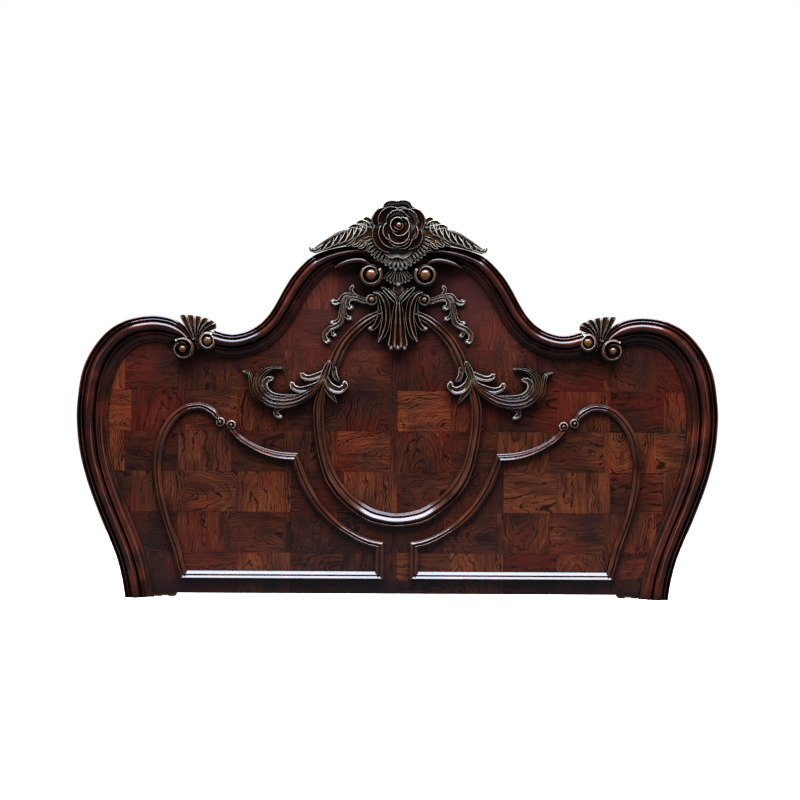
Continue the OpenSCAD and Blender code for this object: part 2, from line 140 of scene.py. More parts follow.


# %% [markdown]
# ## Lacquered carvings
# The frame and carvings are a mahogany-coloured hardwood under near-black glossy lacquer. The maker
# rubbed the lacquer back on every raised rim, so the rims show tan wood, which is painted paler still
# as a highlight. The hollows are painted near black as shade. The mesh carries that as two
# attributes: one is positive on rims and negative in hollows, and *flow* gives the distance along and
# across the carved band, which the grain follows, and a value that is above 0 where a part is painted
# pale all over as a highlight and below 0 where its rims are left dark.

# %% Lacquer finish
# Near black: the colour of the painted shade in hollows and corners, and how much of it is laid on
PAINTED_SHADE_COLOUR = "040202"
PAINTED_SHADE_SHARE = 0.95
LACQUER_IOR = 1.5
COAT_ROUGHNESS = 0.07


def painted_corner_shade(node, reach):
    """How much painted shade goes where the surface is shut in within so many metres: 0 to 1."""
    open_share = node("AmbientOcclusion", {"Distance": reach}, out="AO", samples=6)
    return node("MapRange", open_share, 0.85, 0.35)


def lacquer_finish(name, dark, mid, light, rim, gloss, rim_wear_and_highlight_amount, shade_behind_rim=(), coat=0.6):
    """Glossy lacquer over wood: dark to light along the grain, rims where it is rubbed through and
    painted paler as a highlight, and painted shade in the hollows. The pair given for the shade
    behind a rim says how far behind it that painted shade starts and is full, if there is any."""
    material, node, shader = new_finish(name)
    flow = node("Attribute", out="Vector", attribute_name="flow")
    rim_wear_and_groove_shade = node("Attribute", out="Fac", attribute_name="rim_wear_and_groove_shade")
    place = node("TexCoord", out="Object")
    # Grain about 3 mm wide and 80 mm long, in a pattern that is measured in metres
    stretched = node("Mapping", {"Vector": flow, "Scale": (12.0, 320.0, 320.0)})
    grain = node("TexNoise", {"Vector": stretched, "Scale": 1.0, "Detail": 5.0, "Roughness": 0.62,
                              "Distortion": 0.4})
    cloud = node("TexNoise", {"Vector": place, "Scale": 11.0, "Detail": 3.0})
    fleck = node("TexNoise", {"Vector": place, "Scale": 190.0, "Detail": 4.0})
    tone = node("ADD", node("MULTIPLY", grain, 0.62), node("MULTIPLY", cloud, 0.38))
    wood = node("ValToRGB", tone, stops=((0.36, dark), (0.5, mid), (0.66, light)))
    # Rims: worn through and painted paler as a highlight where the surface turns out sharply, broken up by
    # the fleck
    broken = node("ADD", rim_wear_and_groove_shade, node("MULTIPLY_ADD", fleck, 0.16, -0.08))
    edge = node("MapRange", broken, 0.3, 0.75)
    # Parts painted pale all over as a highlight, or with their rims kept dark
    polish = node("MULTIPLY", node("SeparateXYZ", flow, out="Z"), 1 / MM)
    kept = node("ADD", node("MINIMUM", polish, 0.0), 1.0)
    worn_and_highlighted_rims = node("MULTIPLY", node("MULTIPLY", edge, rim_wear_and_highlight_amount), kept)
    # Painted shade, near black: in the grooves, in the corners, close to the veneer and behind a petal's
    # rim
    groove_shade = node("MapRange", rim_wear_and_groove_shade, -0.02, -0.34)
    height = node("SUBTRACT", FACE_Y, node("SeparateXYZ", place, out="Y"))
    low = node("MapRange", height, 0.01, 0.002)
    painted_shade_mask = node("MAXIMUM", node("MAXIMUM", groove_shade, painted_corner_shade(node, 0.024)), low)
    if shade_behind_rim:
        behind = node("MapRange", node("SeparateXYZ", flow, out="Y"), *shade_behind_rim)
        painted_shade_mask = node("MAXIMUM", painted_shade_mask, behind)
    relief = node("ADD", grain, node("MULTIPLY", fleck, 0.35))
    feed(shader, {
        "Base Color": coated(node, wood, (node("MAXIMUM", worn_and_highlighted_rims, polish), rim),
                             (node("MULTIPLY", painted_shade_mask, PAINTED_SHADE_SHARE), PAINTED_SHADE_COLOUR)),
        "Roughness": node("MapRange", fleck, 0.0, 1.0, gloss - 0.06, gloss + 0.05),
        "Normal": node("Bump", {"Height": relief, "Strength": 0.16, "Distance": 0.0005}),
        "IOR": LACQUER_IOR, "Coat Weight": coat, "Coat Roughness": COAT_ROUGHNESS})
    return material


# %% Seven batches of lacquer: dark, middle, light and rim colours, gloss, and how strongly the rims are worn bare and painted as a highlight
# Frame: nearly black cherry red with worn tan edges painted as a highlight, and a thin top coat
LACQUER = lacquer_finish("rubbed_mahogany_lacquer", "0c0504", "36140b", "702c18", "b0937a",
                         0.2, 0.75, coat=0.2)
# Small mouldings: a warmer brown that picks up the light on its bevels, with painted shade in the grooves
PANEL_LACQUER = lacquer_finish("brown_lacquer_with_painted_shade", "1a0c07", "4a2416", "703a20", "c2ab90", 0.15, 0.75)
# Leaves: brown flutes between worn rims painted silvery as a highlight
LEAF_LACQUER = lacquer_finish("silvery_rubbed_lacquer", "0f0805", "452613", "865a38", "e8dac2", 0.13, 0.9)
# Rose: worn rims painted cream as a highlight, with black painted shade behind each petal's rim
ROSE_LACQUER = lacquer_finish("dark_rose_lacquer", "140905", "4a2310", "8c4a24", "e0cfb4", 0.15, 0.9,
                              shade_behind_rim=(0.005, 0.015))
# Scrolls: brown beads with a thin worn edge painted bright as a highlight
SCROLL_LACQUER = lacquer_finish("brown_scroll_lacquer", "160a06", "4c240f", "7e441f", "ecdcc4", 0.15, 0.95)
# Branches and pendant: thin lacquer that lets the brown wood through
WORN_LACQUER = lacquer_finish("thin_rubbed_lacquer", "150a06", "472614", "784526", "d6c4a6", 0.15, 0.85)
# Bosses: rubbed nearly bare, so they look golden
BOSS_LACQUER = lacquer_finish("golden_rubbed_boss", "2c160a", "6e4019", "985e27", "c9a06c", 0.15, 0.25)
print("lacquers", LACQUER.name, WORN_LACQUER.name, BOSS_LACQUER.name)

# %% [markdown]
# ## Lines drawn through a few points
# A carver marks a handful of points on the panel and bends a thin lath through them. The lath is a
# Catmull-Rom spline: it passes through every point and is the same curve as the CAD model's.

# %% Smooth lines
def smooth(points, steps):
    """A smooth line through the points, with so many steps between each pair."""
    p = np.array(points, float)
    p = np.vstack([2 * p[0] - p[1], p, 2 * p[-1] - p[-2]])
    t = (np.arange(steps) / steps)[:, None]
    spans = []
    for a, b, c, d in zip(p, p[1:], p[2:], p[3:]):
        spans.append(0.5 * (2 * b + (c - a) * t + (2 * a - 5 * b + 4 * c - d) * t**2
                            + (3 * b - a - 3 * c + d) * t**3))
    return np.vstack(spans + [p[-2:-1]])


def length_along(line):
    """Distance from the line's start at each of its points."""
    return np.concatenate([[0], np.cumsum(np.linalg.norm(np.diff(line, axis=0), axis=1))])


def sideways(line):
    """Unit vectors that point to the left of the line, at each of its points."""
    way = np.gradient(line, axis=0)
    way /= np.linalg.norm(way, axis=1)[:, None] + 1e-9
    return np.stack([-way[:, 1], way[:, 0]], 1)


# %% [markdown]
# ## The carved band
# Nearly everything here is a band of wood that runs along a line: the mouldings, the leaf strands,
# the spiral ridges and the petals. They could each be modelled by hand, but one Geometry Nodes tree
# can carve them all. It sweeps a section along each line, and then puts every point where two rails
# say: the section's *across* value mixes the outer rail and the inner rail, and its *lift* value is
# the part of the band's height. Where *cut* falls to 0 the flutes run out into a plain crown, as
# they do at the tip of a leaf. A point with a *ball* size also gets a little turned ball.

# %% The start and the end of a Geometry Nodes tree
def empty_tree(name, plugs, result):
    """A tree with named inputs, a function that adds nodes to it, and what its inputs give."""
    tree = bpy.data.node_groups.new(name, "GeometryNodeTree")
    for title, kind in plugs.items():
        tree.interface.new_socket(title, in_out="INPUT", socket_type=f"NodeSocket{kind}")
    tree.interface.new_socket(result, in_out="OUTPUT", socket_type="NodeSocketGeometry")
    node = partial(add, tree)
    return tree, node, node("NodeGroupInput", out=None).outputs


def close_tree(node, geometry, finish):
    """Ends a tree with real faces, not instances, that have their finish."""
    real = node("GeometryNodeRealizeInstances", geometry)
    finished = node("GeometryNodeSetMaterial", {"Geometry": real, "Material": finish})
    node("NodeGroupOutput", finished, out=None)


# %% The carved band tree
def band_tree():
    """Sweeps a section along lines and bends it between their two rails."""
    tree, node, given = empty_tree("carved band", {
        "Lines": "Geometry", "Section": "Object", "Finish": "Material", "Ball segments": "Int"}, "Band")

    def read(name, kind="FLOAT"):
        return node("GeometryNodeInputNamedAttribute", {"Name": name}, data_type=kind)

    section = node("GeometryNodeObjectInfo", {"Object": given["Section"]}, out="Geometry")
    swept = node("GeometryNodeCurveToMesh", {
        "Curve": node("GeometryNodeMeshToCurve", given["Lines"]),
        "Profile Curve": node("GeometryNodeMeshToCurve", section), "Fill Caps": True})
    across, rails = read("across"), {4: read("outer", "FLOAT_VECTOR"), 5: read("inner", "FLOAT_VECTOR")}
    place = node("Mix", {0: across, **rails}, out=1, data_type="VECTOR")
    lift = node("Mix", {0: read("cut"), 2: read("crown"), 3: read("lift")})
    height = node("SUBTRACT", node("MULTIPLY", read("rise"), lift), read("drop"))
    raised = node("VectorMath", place, node("CombineXYZ", {"Z": height}), operation="ADD")
    carved = node("GeometryNodeSetPosition", {"Geometry": swept, "Position": raised})
    flow = node("CombineXYZ", read("along"), node("MULTIPLY", across, read("width")), read("polish"))
    marked = node("GeometryNodeStoreNamedAttribute", {"Geometry": carved, "Name": "flow", 3: flow},
                  data_type="FLOAT_VECTOR", domain="POINT")
    ball = node("GeometryNodeMeshUVSphere", {
        "Segments": given["Ball segments"], "Rings": node("DIVIDE", given["Ball segments"], 2.0)})
    balls = node("GeometryNodeInstanceOnPoints", {
        "Points": given["Lines"], "Instance": ball, "Scale": read("ball"),
        "Selection": node("GREATER_THAN", read("ball"), 0.0)})
    both = node("GeometryNodeJoinGeometry", out=None)
    for part in (marked, balls):
        feed(both, {0: part})
    close_tree(node, both.outputs[0], given["Finish"])
    return tree


BAND = band_tree()
print("carved band tree:", len(BAND.nodes), "nodes")


# %% Objects that feed the tree
def placed(name, data):
    """A new object in the scene with the given mesh, lamp or camera."""
    thing = bpy.data.objects.new(name, data)
    bpy.context.scene.collection.objects.link(thing)
    return thing


def store(mesh, name, data):
    """Keeps a number or a vector at each of a mesh's points."""
    data = np.asarray(data, np.float32)
    kind, field = ("FLOAT_VECTOR", "vector") if data.ndim == 2 else ("FLOAT", "value")
    mesh.attributes.new(name, kind, "POINT").data.foreach_set(field, data.ravel())


def line_mesh(name, points, edges, **values):
    """A mesh of points and edges in bench millimetres that carries values at its points."""
    mesh = bpy.data.meshes.new(name)
    mesh.from_pydata([tuple(p) for p in points], edges, [])
    for key, data in values.items():
        store(mesh, key, data)
    return placed(name, mesh)


# %% Sections
CUTTERS = []
GLUED_FACE = [(1.0, 0.5), (0.0, 0.5)]  # half a millimetre into the veneer
CROWN_FALL = 0.3


def section_of(name, tops, under=GLUED_FACE, steps=2):
    """A closed section: (across, lift) along its top, made smooth, and (across, drop) underneath."""
    top = smooth(tops, steps)
    below = np.array(under, float)
    across = np.concatenate([top[:, 0], below[:, 0]])
    lift = np.concatenate([top[:, 1], 0 * below[:, 0]])
    crown = np.concatenate([1 - CROWN_FALL * (2 * top[:, 0] - 1) ** 2, 0 * below[:, 0]])
    drop = np.concatenate([0 * top[:, 0], below[:, 1]])
    count = len(across)
    points = np.stack([across, lift, 0 * across], 1)
    made = line_mesh(name, points, [(i, (i + 1) % count) for i in range(count)],
                     across=across, lift=lift, crown=crown, drop=drop)
    CUTTERS.append(made)
    return made


def lines_of(name, lines):
    """All the lines of a piece as one mesh. A line is a dict of arrays, one row for each station."""
    keys = ("outer", "inner", "rise", "cut", "along", "width", "ball")
    values = {key: np.concatenate([line[key] for line in lines]) for key in keys}
    polish = [np.full(len(line["rise"]), line.get("polish", 0.0)) for line in lines]
    values["polish"] = np.concatenate(polish)
    points = (values["outer"] + values["inner"]) / 2
    points[:, 2] = values["rise"] - 0.75 * values["ball"]
    edges, first = [], 0
    for line in lines:
        count = len(line["rise"])
        edges += [(first + i, first + i + 1) for i in range(count - 1)]
        first += count
    return line_mesh(name, points, edges, **values)


# %% Rails and strands as lines
def flat(line, z=0.0):
    """A bench line with the same z everywhere."""
    line = np.asarray(line, float)
    return np.column_stack([line, np.full(len(line), z)])


RAIL_STEPS = 8


def railed(rails, rise, base=0.0):
    """A moulding's line from its stations of [outer point, inner point]."""
    outer = smooth([s[0] for s in rails], RAIL_STEPS)
    inner = smooth([s[1] for s in rails], RAIL_STEPS)
    count = len(outer)
    middle = (outer + inner) / 2
    width = np.linalg.norm(outer - inner, axis=1)
    return dict(outer=flat(outer, base), inner=flat(inner, base), rise=np.full(count, float(rise)),
                cut=np.ones(count), along=length_along(middle), width=width, ball=np.zeros(count))


# %% Leaf strands as lines
FIRST_TURN, TURN_STEPS = 0.25, 5  # where a round end starts, in radians, and how many steps it takes
ARCH = 0.18  # how much lower a strand's ends are than its middle
TIP_SINK = 0.3
ROOT_CUT = 0.2
GRAIN_SHIFT = 37.0  # keeps the grain of neighbouring strands apart
TINY = 1e-6


def strand(spine, half_widths, rise, steps=7, ball=0.0, base=0.0):
    """A leaf strand: a spine that widens and narrows between round ends."""
    line = smooth(spine, steps)
    t = length_along(line)
    t /= t[-1]
    root, middle, tip = half_widths
    ends = np.where(t < 0.5, root, tip)
    half = ends + (middle - ends) * np.sin(np.pi * t)
    turn = np.linspace(FIRST_TURN, math.pi / 2, TURN_STEPS)[:-1]
    into = (line[0] - line[1]) / np.linalg.norm(line[0] - line[1])
    onto = (line[-1] - line[-2]) / np.linalg.norm(line[-1] - line[-2])
    head = line[0] + into * (root * np.cos(turn))[:, None]
    tail = (line[-1] + onto * (tip * np.cos(turn))[:, None])[::-1]
    left = sideways(line)
    left = np.vstack([np.repeat(left[:1], len(head), 0), left, np.repeat(left[-1:], len(tail), 0)])
    half = np.concatenate([root * np.sin(turn), half, (tip * np.sin(turn))[::-1]])
    line = np.vstack([head, line, tail])
    along = length_along(line)
    to_end = along[-1] - along
    swell = 1 - ARCH + ARCH * np.sin(np.pi * along / along[-1])
    sink = 1 - TIP_SINK * np.clip(1 - to_end / (tip + TINY), 0, 1) ** 2
    cut = np.clip(to_end / (2 * tip + TINY), 0, 1) * np.clip(along / (2 * root + TINY), ROOT_CUT, 1)
    balls = np.zeros(len(line))
    if ball:
        balls[-len(tail) - 1] = ball
    offset = left * half[:, None]
    return dict(outer=flat(line + offset, base), inner=flat(line - offset, base), rise=rise * swell * sink,
                cut=cut, along=along + GRAIN_SHIFT * spine[0][0], width=2 * half, ball=balls)


# %% [markdown]
# ## From bench to headboard
# A piece is collected on the bench as plain points and faces. The last step mirrors it for the left
# side, stands it up in the frame, turns its faces outwards and works out an attribute from how
# sharply the surface bends: outward bends are worn rims, painted paler as a highlight, and inward
# bends are grooves, painted dark as shade.

# %% Bench shapes
BALL_SEGMENTS = 14


def numbers(items, field, width=3, kind=float):
    """One property of all a mesh's points or edges, as rows."""
    values = np.empty(len(items) * width, kind)
    items.foreach_get(field, values)
    return values.reshape(-1, width)


def run_tree(tree, thing, values):
    """A tree's result on an object as a bench shape: (points, faces, flow). The object is removed."""
    tool = thing.modifiers.new(tree.name, "NODES")
    tool.node_group = tree
    sockets = {s.name: s.identifier for s in tree.interface.items_tree if s.in_out == "INPUT"}
    for key, value in values.items():
        tool[sockets[key]] = value
    graph = bpy.context.evaluated_depsgraph_get()
    mesh = bpy.data.meshes.new_from_object(thing.evaluated_get(graph))
    bpy.data.objects.remove(thing)
    faces = [tuple(p.vertices) for p in mesh.polygons]
    return numbers(mesh.vertices, "co"), faces, numbers(mesh.attributes["flow"].data, "vector")


def carved(name, lines, section):
    """Lines with a section carved along them, as a bench shape."""
    return run_tree(BAND, lines_of(name, lines), {
        "Section": section, "Finish": LACQUER, "Ball segments": BALL_SEGMENTS})


def joined(*shapes):
    """Several bench shapes as one."""
    points, faces, flow, first = [], [], [], 0
    for p, f, w in shapes:
        points.append(p)
        flow.append(w)
        faces += [tuple(i + first for i in face) for face in f]
        first += len(p)
    return np.vstack(points), faces, np.vstack(flow)


def mirrored(shape):
    """The shape's twin on the other side of the centre line."""
    return shape[0] * (-1, 1, 1), [face[::-1] for face in shape[1]], shape[2] + (900.0, 300.0, 0.0)


def turned(centre, outline, steps=48, polish=0.0):
    """A lathe-turned shape from (radius, height) points that start and end on the axis."""
    outline = np.array(outline, float)
    rings = outline[1:-1]
    angles = np.arange(steps) * 2 * math.pi / steps
    points = [(centre[0], centre[1], outline[0][1])]
    for r, z in rings:
        points += [(centre[0] + r * math.cos(a), centre[1] + r * math.sin(a), z) for a in angles]
    points.append((centre[0], centre[1], outline[-1][1]))
    last = len(points) - 1
    faces = []
    for k in range(steps):
        n = (k + 1) % steps
        faces.append((0, 1 + n, 1 + k))
        for ring in range(len(rings) - 1):
            a, b = 1 + ring * steps, 1 + (ring + 1) * steps
            faces.append((a + k, a + n, b + n, b + k))
        a = 1 + (len(rings) - 1) * steps
        faces.append((a + k, a + n, last))
    points = np.array(points)
    around = np.arctan2(points[:, 1] - centre[1], points[:, 0] - centre[0])
    out = np.hypot(points[:, 1] - centre[1], points[:, 0] - centre[0])
    return points, faces, np.stack([around * 20, out, 0 * out + polish], 1)


# %% Bends: worn rims with a painted highlight, grooves with painted shade
SHORT_EDGE = 0.2  # in square millimetres: shorter edges don't count as sharper
SMOOTHINGS = 2


def measure_bend(mesh, reach):
    """How sharply the surface bends at each point: 1 on a fine rim, -1 in a fine groove."""
    count = len(mesh.vertices)
    points = numbers(mesh.vertices, "co") / MM
    normals = numbers(mesh.vertices, "normal")
    a, b = numbers(mesh.edges, "vertices", 2, int).T
    step = points[a] - points[b]
    size = np.maximum((step**2).sum(1), SHORT_EDGE)
    bend = np.zeros(count)
    weight = np.full(count, TINY)
    for here, way in ((a, 1), (b, -1)):
        np.add.at(bend, here, 2 * way * (normals[here] * step).sum(1) / size * np.sqrt(size))
        np.add.at(weight, here, np.sqrt(size))
    bend /= weight
    for _ in range(SMOOTHINGS):
        total, share = bend.copy(), np.ones(count)
        np.add.at(total, a, bend[b])
        np.add.at(total, b, bend[a])
        np.add.at(share, a, 1)
        np.add.at(share, b, 1)
        bend = total / share
    return np.tanh(bend * reach)


# %% The finished piece
SHARP = math.radians(50)
SAME_POINT = 0.00002
BEND_REACH = 2.6


def stand_up(node, shape, finish, reach=BEND_REACH):
    """Makes the finished piece in the frame, in place of its CAD node. reach is how soon a bend counts
    as a worn rim with a painted highlight or a groove with painted shade.
    """
    points, faces, flow = shape
    points = np.stack([points[:, 0] * MM, FACE_Y - points[:, 2] * MM, points[:, 1] * MM], 1)
    name = f"{node}_carved"
    mesh = bpy.data.meshes.new(name)
    mesh.from_pydata(points.tolist(), [], faces)
    store(mesh, "flow", flow * MM)
    work = bmesh.new()
    work.from_mesh(mesh)
    bmesh.ops.remove_doubles(work, verts=work.verts, dist=SAME_POINT)
    bmesh.ops.recalc_face_normals(work, faces=work.faces)
    work.to_mesh(mesh)
    work.free()
    mesh.polygons.foreach_set("use_smooth", [True] * len(mesh.polygons))
    # How sharply each point bends: rims get wear and a painted highlight, grooves painted shade
    store(mesh, "rim_wear_and_groove_shade", measure_bend(mesh, reach))
    mesh.set_sharp_from_angle(angle=SHARP)
    mesh.materials.append(finish)
    piece = placed(name, mesh)
    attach(piece, "root")
    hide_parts(node)
    print(f"{name}: {len(mesh.polygons)} faces")


def pair(name, shape, finish=LACQUER, reach=BEND_REACH):
    """The right and left twins of a piece, each in place of its CAD node."""
    for side, twin in (("right", shape), ("left", mirrored(shape))):
        stand_up(f"{side}_{name}", twin, finish, reach)


# %% [markdown]
# ## Frame mouldings
# The big mouldings were run on a spindle moulder in straight and curved lengths: an outer bead, a
# quirk, a thin ridge, a broad rounded band, another bead and a deep cove down to the veneer. They
# hang over the board's edge and hide it. The rails are the CAD model's, so the band tree bends the
# section exactly where the CAD moulding is.

# %% Rails of the frame mouldings
SIDE_RAILS = [
    [[813, 0], [727, 0]], [[822, 55], [739, 62]], [[838, 118], [756, 125]],
    [[862, 180], [779, 190]], [[897, 265], [813, 273]], [[928, 350], [843, 355]],
    [[951, 440], [862, 432]], [[959.9, 530], [870, 515]], [[957, 600], [868, 585]],
    [[944, 678], [855, 652]], [[915, 742], [832, 706]], [[868, 798], [800, 742]],
    [[810, 832], [768, 760]], [[745, 845], [734, 767]], [[694, 841], [705, 765]],
    [[660, 828], [684, 762]], [[634, 806], [672, 770]], [[617, 780], [658, 778]]]
CROWN_RAILS = [
    [[70, 1062], [70, 1008]], [[130, 1059], [128, 1010]], [[190, 1049], [166, 1000]],
    [[230, 1037], [202, 984]], [[262, 1022], [232, 960]], [[292, 994], [256, 932]],
    [[320, 960], [278, 898]], [[343, 923], [300, 858]], [[364, 884], [322, 822]],
    [[387, 848], [348, 789]], [[415, 820], [382, 758]], [[452, 800], [424, 736]],
    [[490, 791], [466, 724]], [[520, 794], [506, 720]], [[539, 800], [539, 724]],
    [[551, 803], [549, 728]]]
REBATE = 0.3  # the part of the moulding's width that hangs over the board's edge

# %% Section of the frame mouldings
FRAME_SECTION = section_of("frame section", [
    (0.0, 0.3), (0.0, 0.62), (0.012, 0.74), (0.04, 0.79), (0.068, 0.74), (0.082, 0.58), (0.1, 0.5),
    (0.122, 0.6), (0.132, 0.8), (0.155, 0.87), (0.182, 0.82), (0.2, 0.7), (0.222, 0.68),
    (0.25, 0.82), (0.31, 0.95), (0.38, 1.0), (0.45, 0.96), (0.52, 0.84), (0.555, 0.68),
    (0.575, 0.54), (0.6, 0.54), (0.618, 0.68), (0.645, 0.76), (0.675, 0.7), (0.692, 0.54),
    (0.72, 0.4), (0.78, 0.27), (0.86, 0.2), (0.93, 0.2), (0.965, 0.2),
    (1.0, 0.12)], [(1.0, 0), (REBATE, 0), (REBATE, BACK), (0.0, BACK)])

BEAD_SECTION = section_of("bead section", [
    (0.0, 0.5), (0.0, 0.9), (0.12, 0.965), (0.5, 1.0), (0.88, 0.965), (1.0, 0.9), (1.0, 0.5)], steps=3)

# %% Pieces of the frame mouldings
# The crown moulding's inner bead leaves it and curls down to the big volute
CURL = [[186, 994], [168, 1002], [148, 1009], [126, 1013], [108, 1012], [95, 1006], [86, 998]]
CURL_H = FRAME_H * 0.86
curl = carved("curl", [strand(CURL, [4, 5.5, 4.5], CURL_H)], BEAD_SECTION)
crown = carved("crown", [railed(CROWN_RAILS, FRAME_H)], FRAME_SECTION)
pair("side_moulding", carved("side", [railed(SIDE_RAILS, FRAME_H)], FRAME_SECTION))
pair("crown_moulding", joined(crown, curl))

# %% [markdown]
# ## Oval, branches and panel mouldings
# These smaller mouldings are glued on the veneer, and each has a section of its own. Each lower
# panel is edged by five lengths mitred together. The arch, the inner length and the post have two
# rounded ridges with a groove between them. The base and the slope have two wide bevels that look
# up and shine. The oval has a ridge with a bevel that looks in, between two thin beads.

# %% Rails of the small mouldings
OVAL_RAILS = [
    [[232, 640], [205, 640]], [[246, 607], [213, 610]], [[254, 561], [219, 560]],
    [[252, 507], [217, 505]], [[244, 450], [210, 453]], [[230, 391], [196, 402]],
    [[209, 338], [171, 356]], [[165, 284], [134, 311]], [[98, 234], [82, 274]],
    [[48, 218], [40, 260]], [[0, 213], [0, 255]]]
OVAL_RAILS += [[[-x, y] for x, y in station] for station in OVAL_RAILS[-2::-1]]
BRANCH_RAILS = [
    [[46, 868], [51, 840]], [[71, 860], [73, 828]], [[103, 844], [99, 807]], [[143, 812], [127, 780]],
    [[178, 771], [150, 747]], [[202, 727], [168, 706]], [[215, 685], [180, 672]]]
PANEL_RAILS = {
    "arch": [
        [[651, 53], [630, 80]], [[662, 90], [637, 100]], [[678, 145], [652, 160]],
        [[704, 225], [680, 230]], [[726, 310], [701, 310]], [[735, 385], [709, 385]],
        [[729, 448], [704, 444]], [[713, 500], [688, 492]], [[680, 550], [659, 534]],
        [[637, 579], [628, 557]], [[593, 586], [592, 562]], [[560, 575], [569, 551]],
        [[541, 560], [555, 541]], [[531, 545], [548, 534]]],
    "slope": [
        [[485, 503], [507, 503]], [[462, 481], [481, 474]], [[424, 459], [438, 446]],
        [[386, 445], [393, 425]], [[346, 437], [350, 414]], [[299, 434], [315, 411]]],
    "inner": [
        [[299, 434], [315, 411]], [[284, 394], [304, 375]], [[266, 352], [290, 337]],
        [[239, 304], [266, 294]], [[207, 261], [232, 250]], [[167, 224], [189, 211]],
        [[122, 196], [141, 180]], [[80, 178], [102, 159]], [[38, 169], [65, 148]]],
    "post": [[[38, 169], [65, 148]], [[38, 53], [65, 80]]],
    "base": [[[38, 53], [65, 80]], [[651, 53], [630, 80]]],
}

# %% Sections of the small mouldings
PANEL_SECTION = section_of("panel section", [
    (0.0, 0.2), (0.015, 0.5), (0.06, 0.64), (0.17, 0.8), (0.28, 0.96), (0.33, 1.0), (0.38, 0.95),
    (0.46, 0.78), (0.5, 0.74), (0.54, 0.78), (0.62, 0.95), (0.67, 1.0), (0.72, 0.96), (0.83, 0.8),
    (0.94, 0.64), (0.985, 0.5), (1.0, 0.2)])
# Two wide bevels, for the base and the slope
BASE_SECTION = section_of("base section", [
    (0.0, 0.3), (0.015, 0.6), (0.06, 0.8), (0.14, 0.95), (0.21, 1.0), (0.26, 0.98), (0.35, 0.86),
    (0.44, 0.74), (0.53, 0.62), (0.55, 0.57), (0.57, 0.58), (0.6, 0.74), (0.63, 0.76),
    (0.67, 0.73), (0.76, 0.6), (0.85, 0.47), (0.95, 0.33), (0.985, 0.3), (1.0, 0.12)])
# The oval: a bead each side of a ridge whose wide bevel looks in towards the middle
OVAL_SECTION = section_of("oval section", [
    (0.0, 0.35), (0.01, 0.6), (0.06, 0.76), (0.11, 0.8), (0.16, 0.76), (0.2, 0.62), (0.24, 0.62),
    (0.28, 0.8), (0.34, 0.96), (0.39, 1.0), (0.44, 0.97), (0.52, 0.86), (0.6, 0.75), (0.67, 0.64),
    (0.69, 0.58), (0.72, 0.6), (0.76, 0.7), (0.81, 0.72), (0.86, 0.64), (0.89, 0.5), (0.95, 0.38),
    (1.0, 0.25)])
# The branches over the oval: a broad ridge between two beads
BRANCH_SECTION = section_of("branch section", [
    (0.0, 0.35), (0.01, 0.6), (0.06, 0.78), (0.12, 0.82), (0.18, 0.76), (0.22, 0.6), (0.27, 0.58),
    (0.31, 0.78), (0.38, 0.95), (0.46, 1.0), (0.54, 0.95), (0.6, 0.76), (0.64, 0.6), (0.69, 0.6),
    (0.73, 0.74), (0.79, 0.8), (0.85, 0.72), (0.89, 0.5), (0.95, 0.38), (1.0, 0.25)])

# %% Pieces of the small mouldings
stand_up("oval_moulding", carved("oval", [railed(OVAL_RAILS, OVAL_H)], OVAL_SECTION), PANEL_LACQUER)
pair("oval_branch", carved("branch", [railed(BRANCH_RAILS, BRANCH_H)], BRANCH_SECTION),
     WORN_LACQUER)
for part, rails in PANEL_RAILS.items():
    if part == "slope":
        rails = [station[::-1] for station in rails]  # its bevels look up, so its rails change places
    section = BASE_SECTION if part in ("base", "slope") else PANEL_SECTION
    pair(f"{part}_moulding", carved(part, [railed(rails, PANEL_H)], section), PANEL_LACQUER)

# %% [markdown]
# ## Scrolls and bosses
# A scroll is a turned drum with a bead that coils round it and dives to the middle, where a turned
# boss sits like a button. The coil is a band whose rails are a spiral; the drum and the boss are
# lathe work.

# %% Spiral bands
ROLL_SECTION = section_of("roll section", [
    (0.0, 0.3), (0.02, 0.48), (0.1, 0.66), (0.28, 0.82), (0.46, 0.88), (0.6, 0.89), (0.68, 0.93),
    (0.76, 0.99), (0.85, 1.0), (0.95, 0.98), (1.0, 0.86), (1.0, 0.3)], steps=3)
COIL_STEP, COIL_LEAST = 6, 8  # degrees between stations, and the fewest stations
EASING = 7  # stations that a change of radius is spread over
COIL_SINK = 0.84  # the part of the height that is left at the coil's inner end


def coil(centre, start, stop, radii, bead, height, squeeze):
    """A bead that runs round a centre from one angle to another while its radius changes."""
    count = max(int(abs(stop - start) / COIL_STEP), COIL_LEAST)
    t = np.linspace(0, 1, count + 1)
    angle = np.radians(start + (stop - start) * t)
    radius = np.interp(t, np.linspace(0, 1, len(radii)), radii)
    radius = np.convolve(np.pad(radius, EASING // 2, mode="edge"), np.ones(EASING) / EASING, "valid")
    out = np.stack([np.cos(angle) * squeeze, np.sin(angle)], 1)
    spine = np.array(centre) + out * radius[:, None]
    half = np.interp(t, np.linspace(0, 1, len(bead)), bead) / 2
    across = out / np.linalg.norm(out, axis=1)[:, None] * half[:, None]
    rise = np.interp(t, [0, 0.6, 1], [height, height, height * COIL_SINK])
    return dict(outer=flat(spine + across), inner=flat(spine - across), rise=rise,
                cut=np.ones(len(t)), along=length_along(spine), width=2 * half, ball=np.zeros(len(t)))


# %% Lathe work
BOSS_STEPS, ARC_STEPS = 32, 10
NECK = 3  # how far a boss's neck goes down into the drum


def drum(centre, radius, height, floor):
    """The turned drum under a scroll, dished inside its rim."""
    return turned(centre, [(0, floor), (radius - 5, floor), (radius - 2.5, floor + (height - floor) * 0.3),
                           (radius - 1, floor), (radius, floor - 3), (radius, 0), (0, 0)])


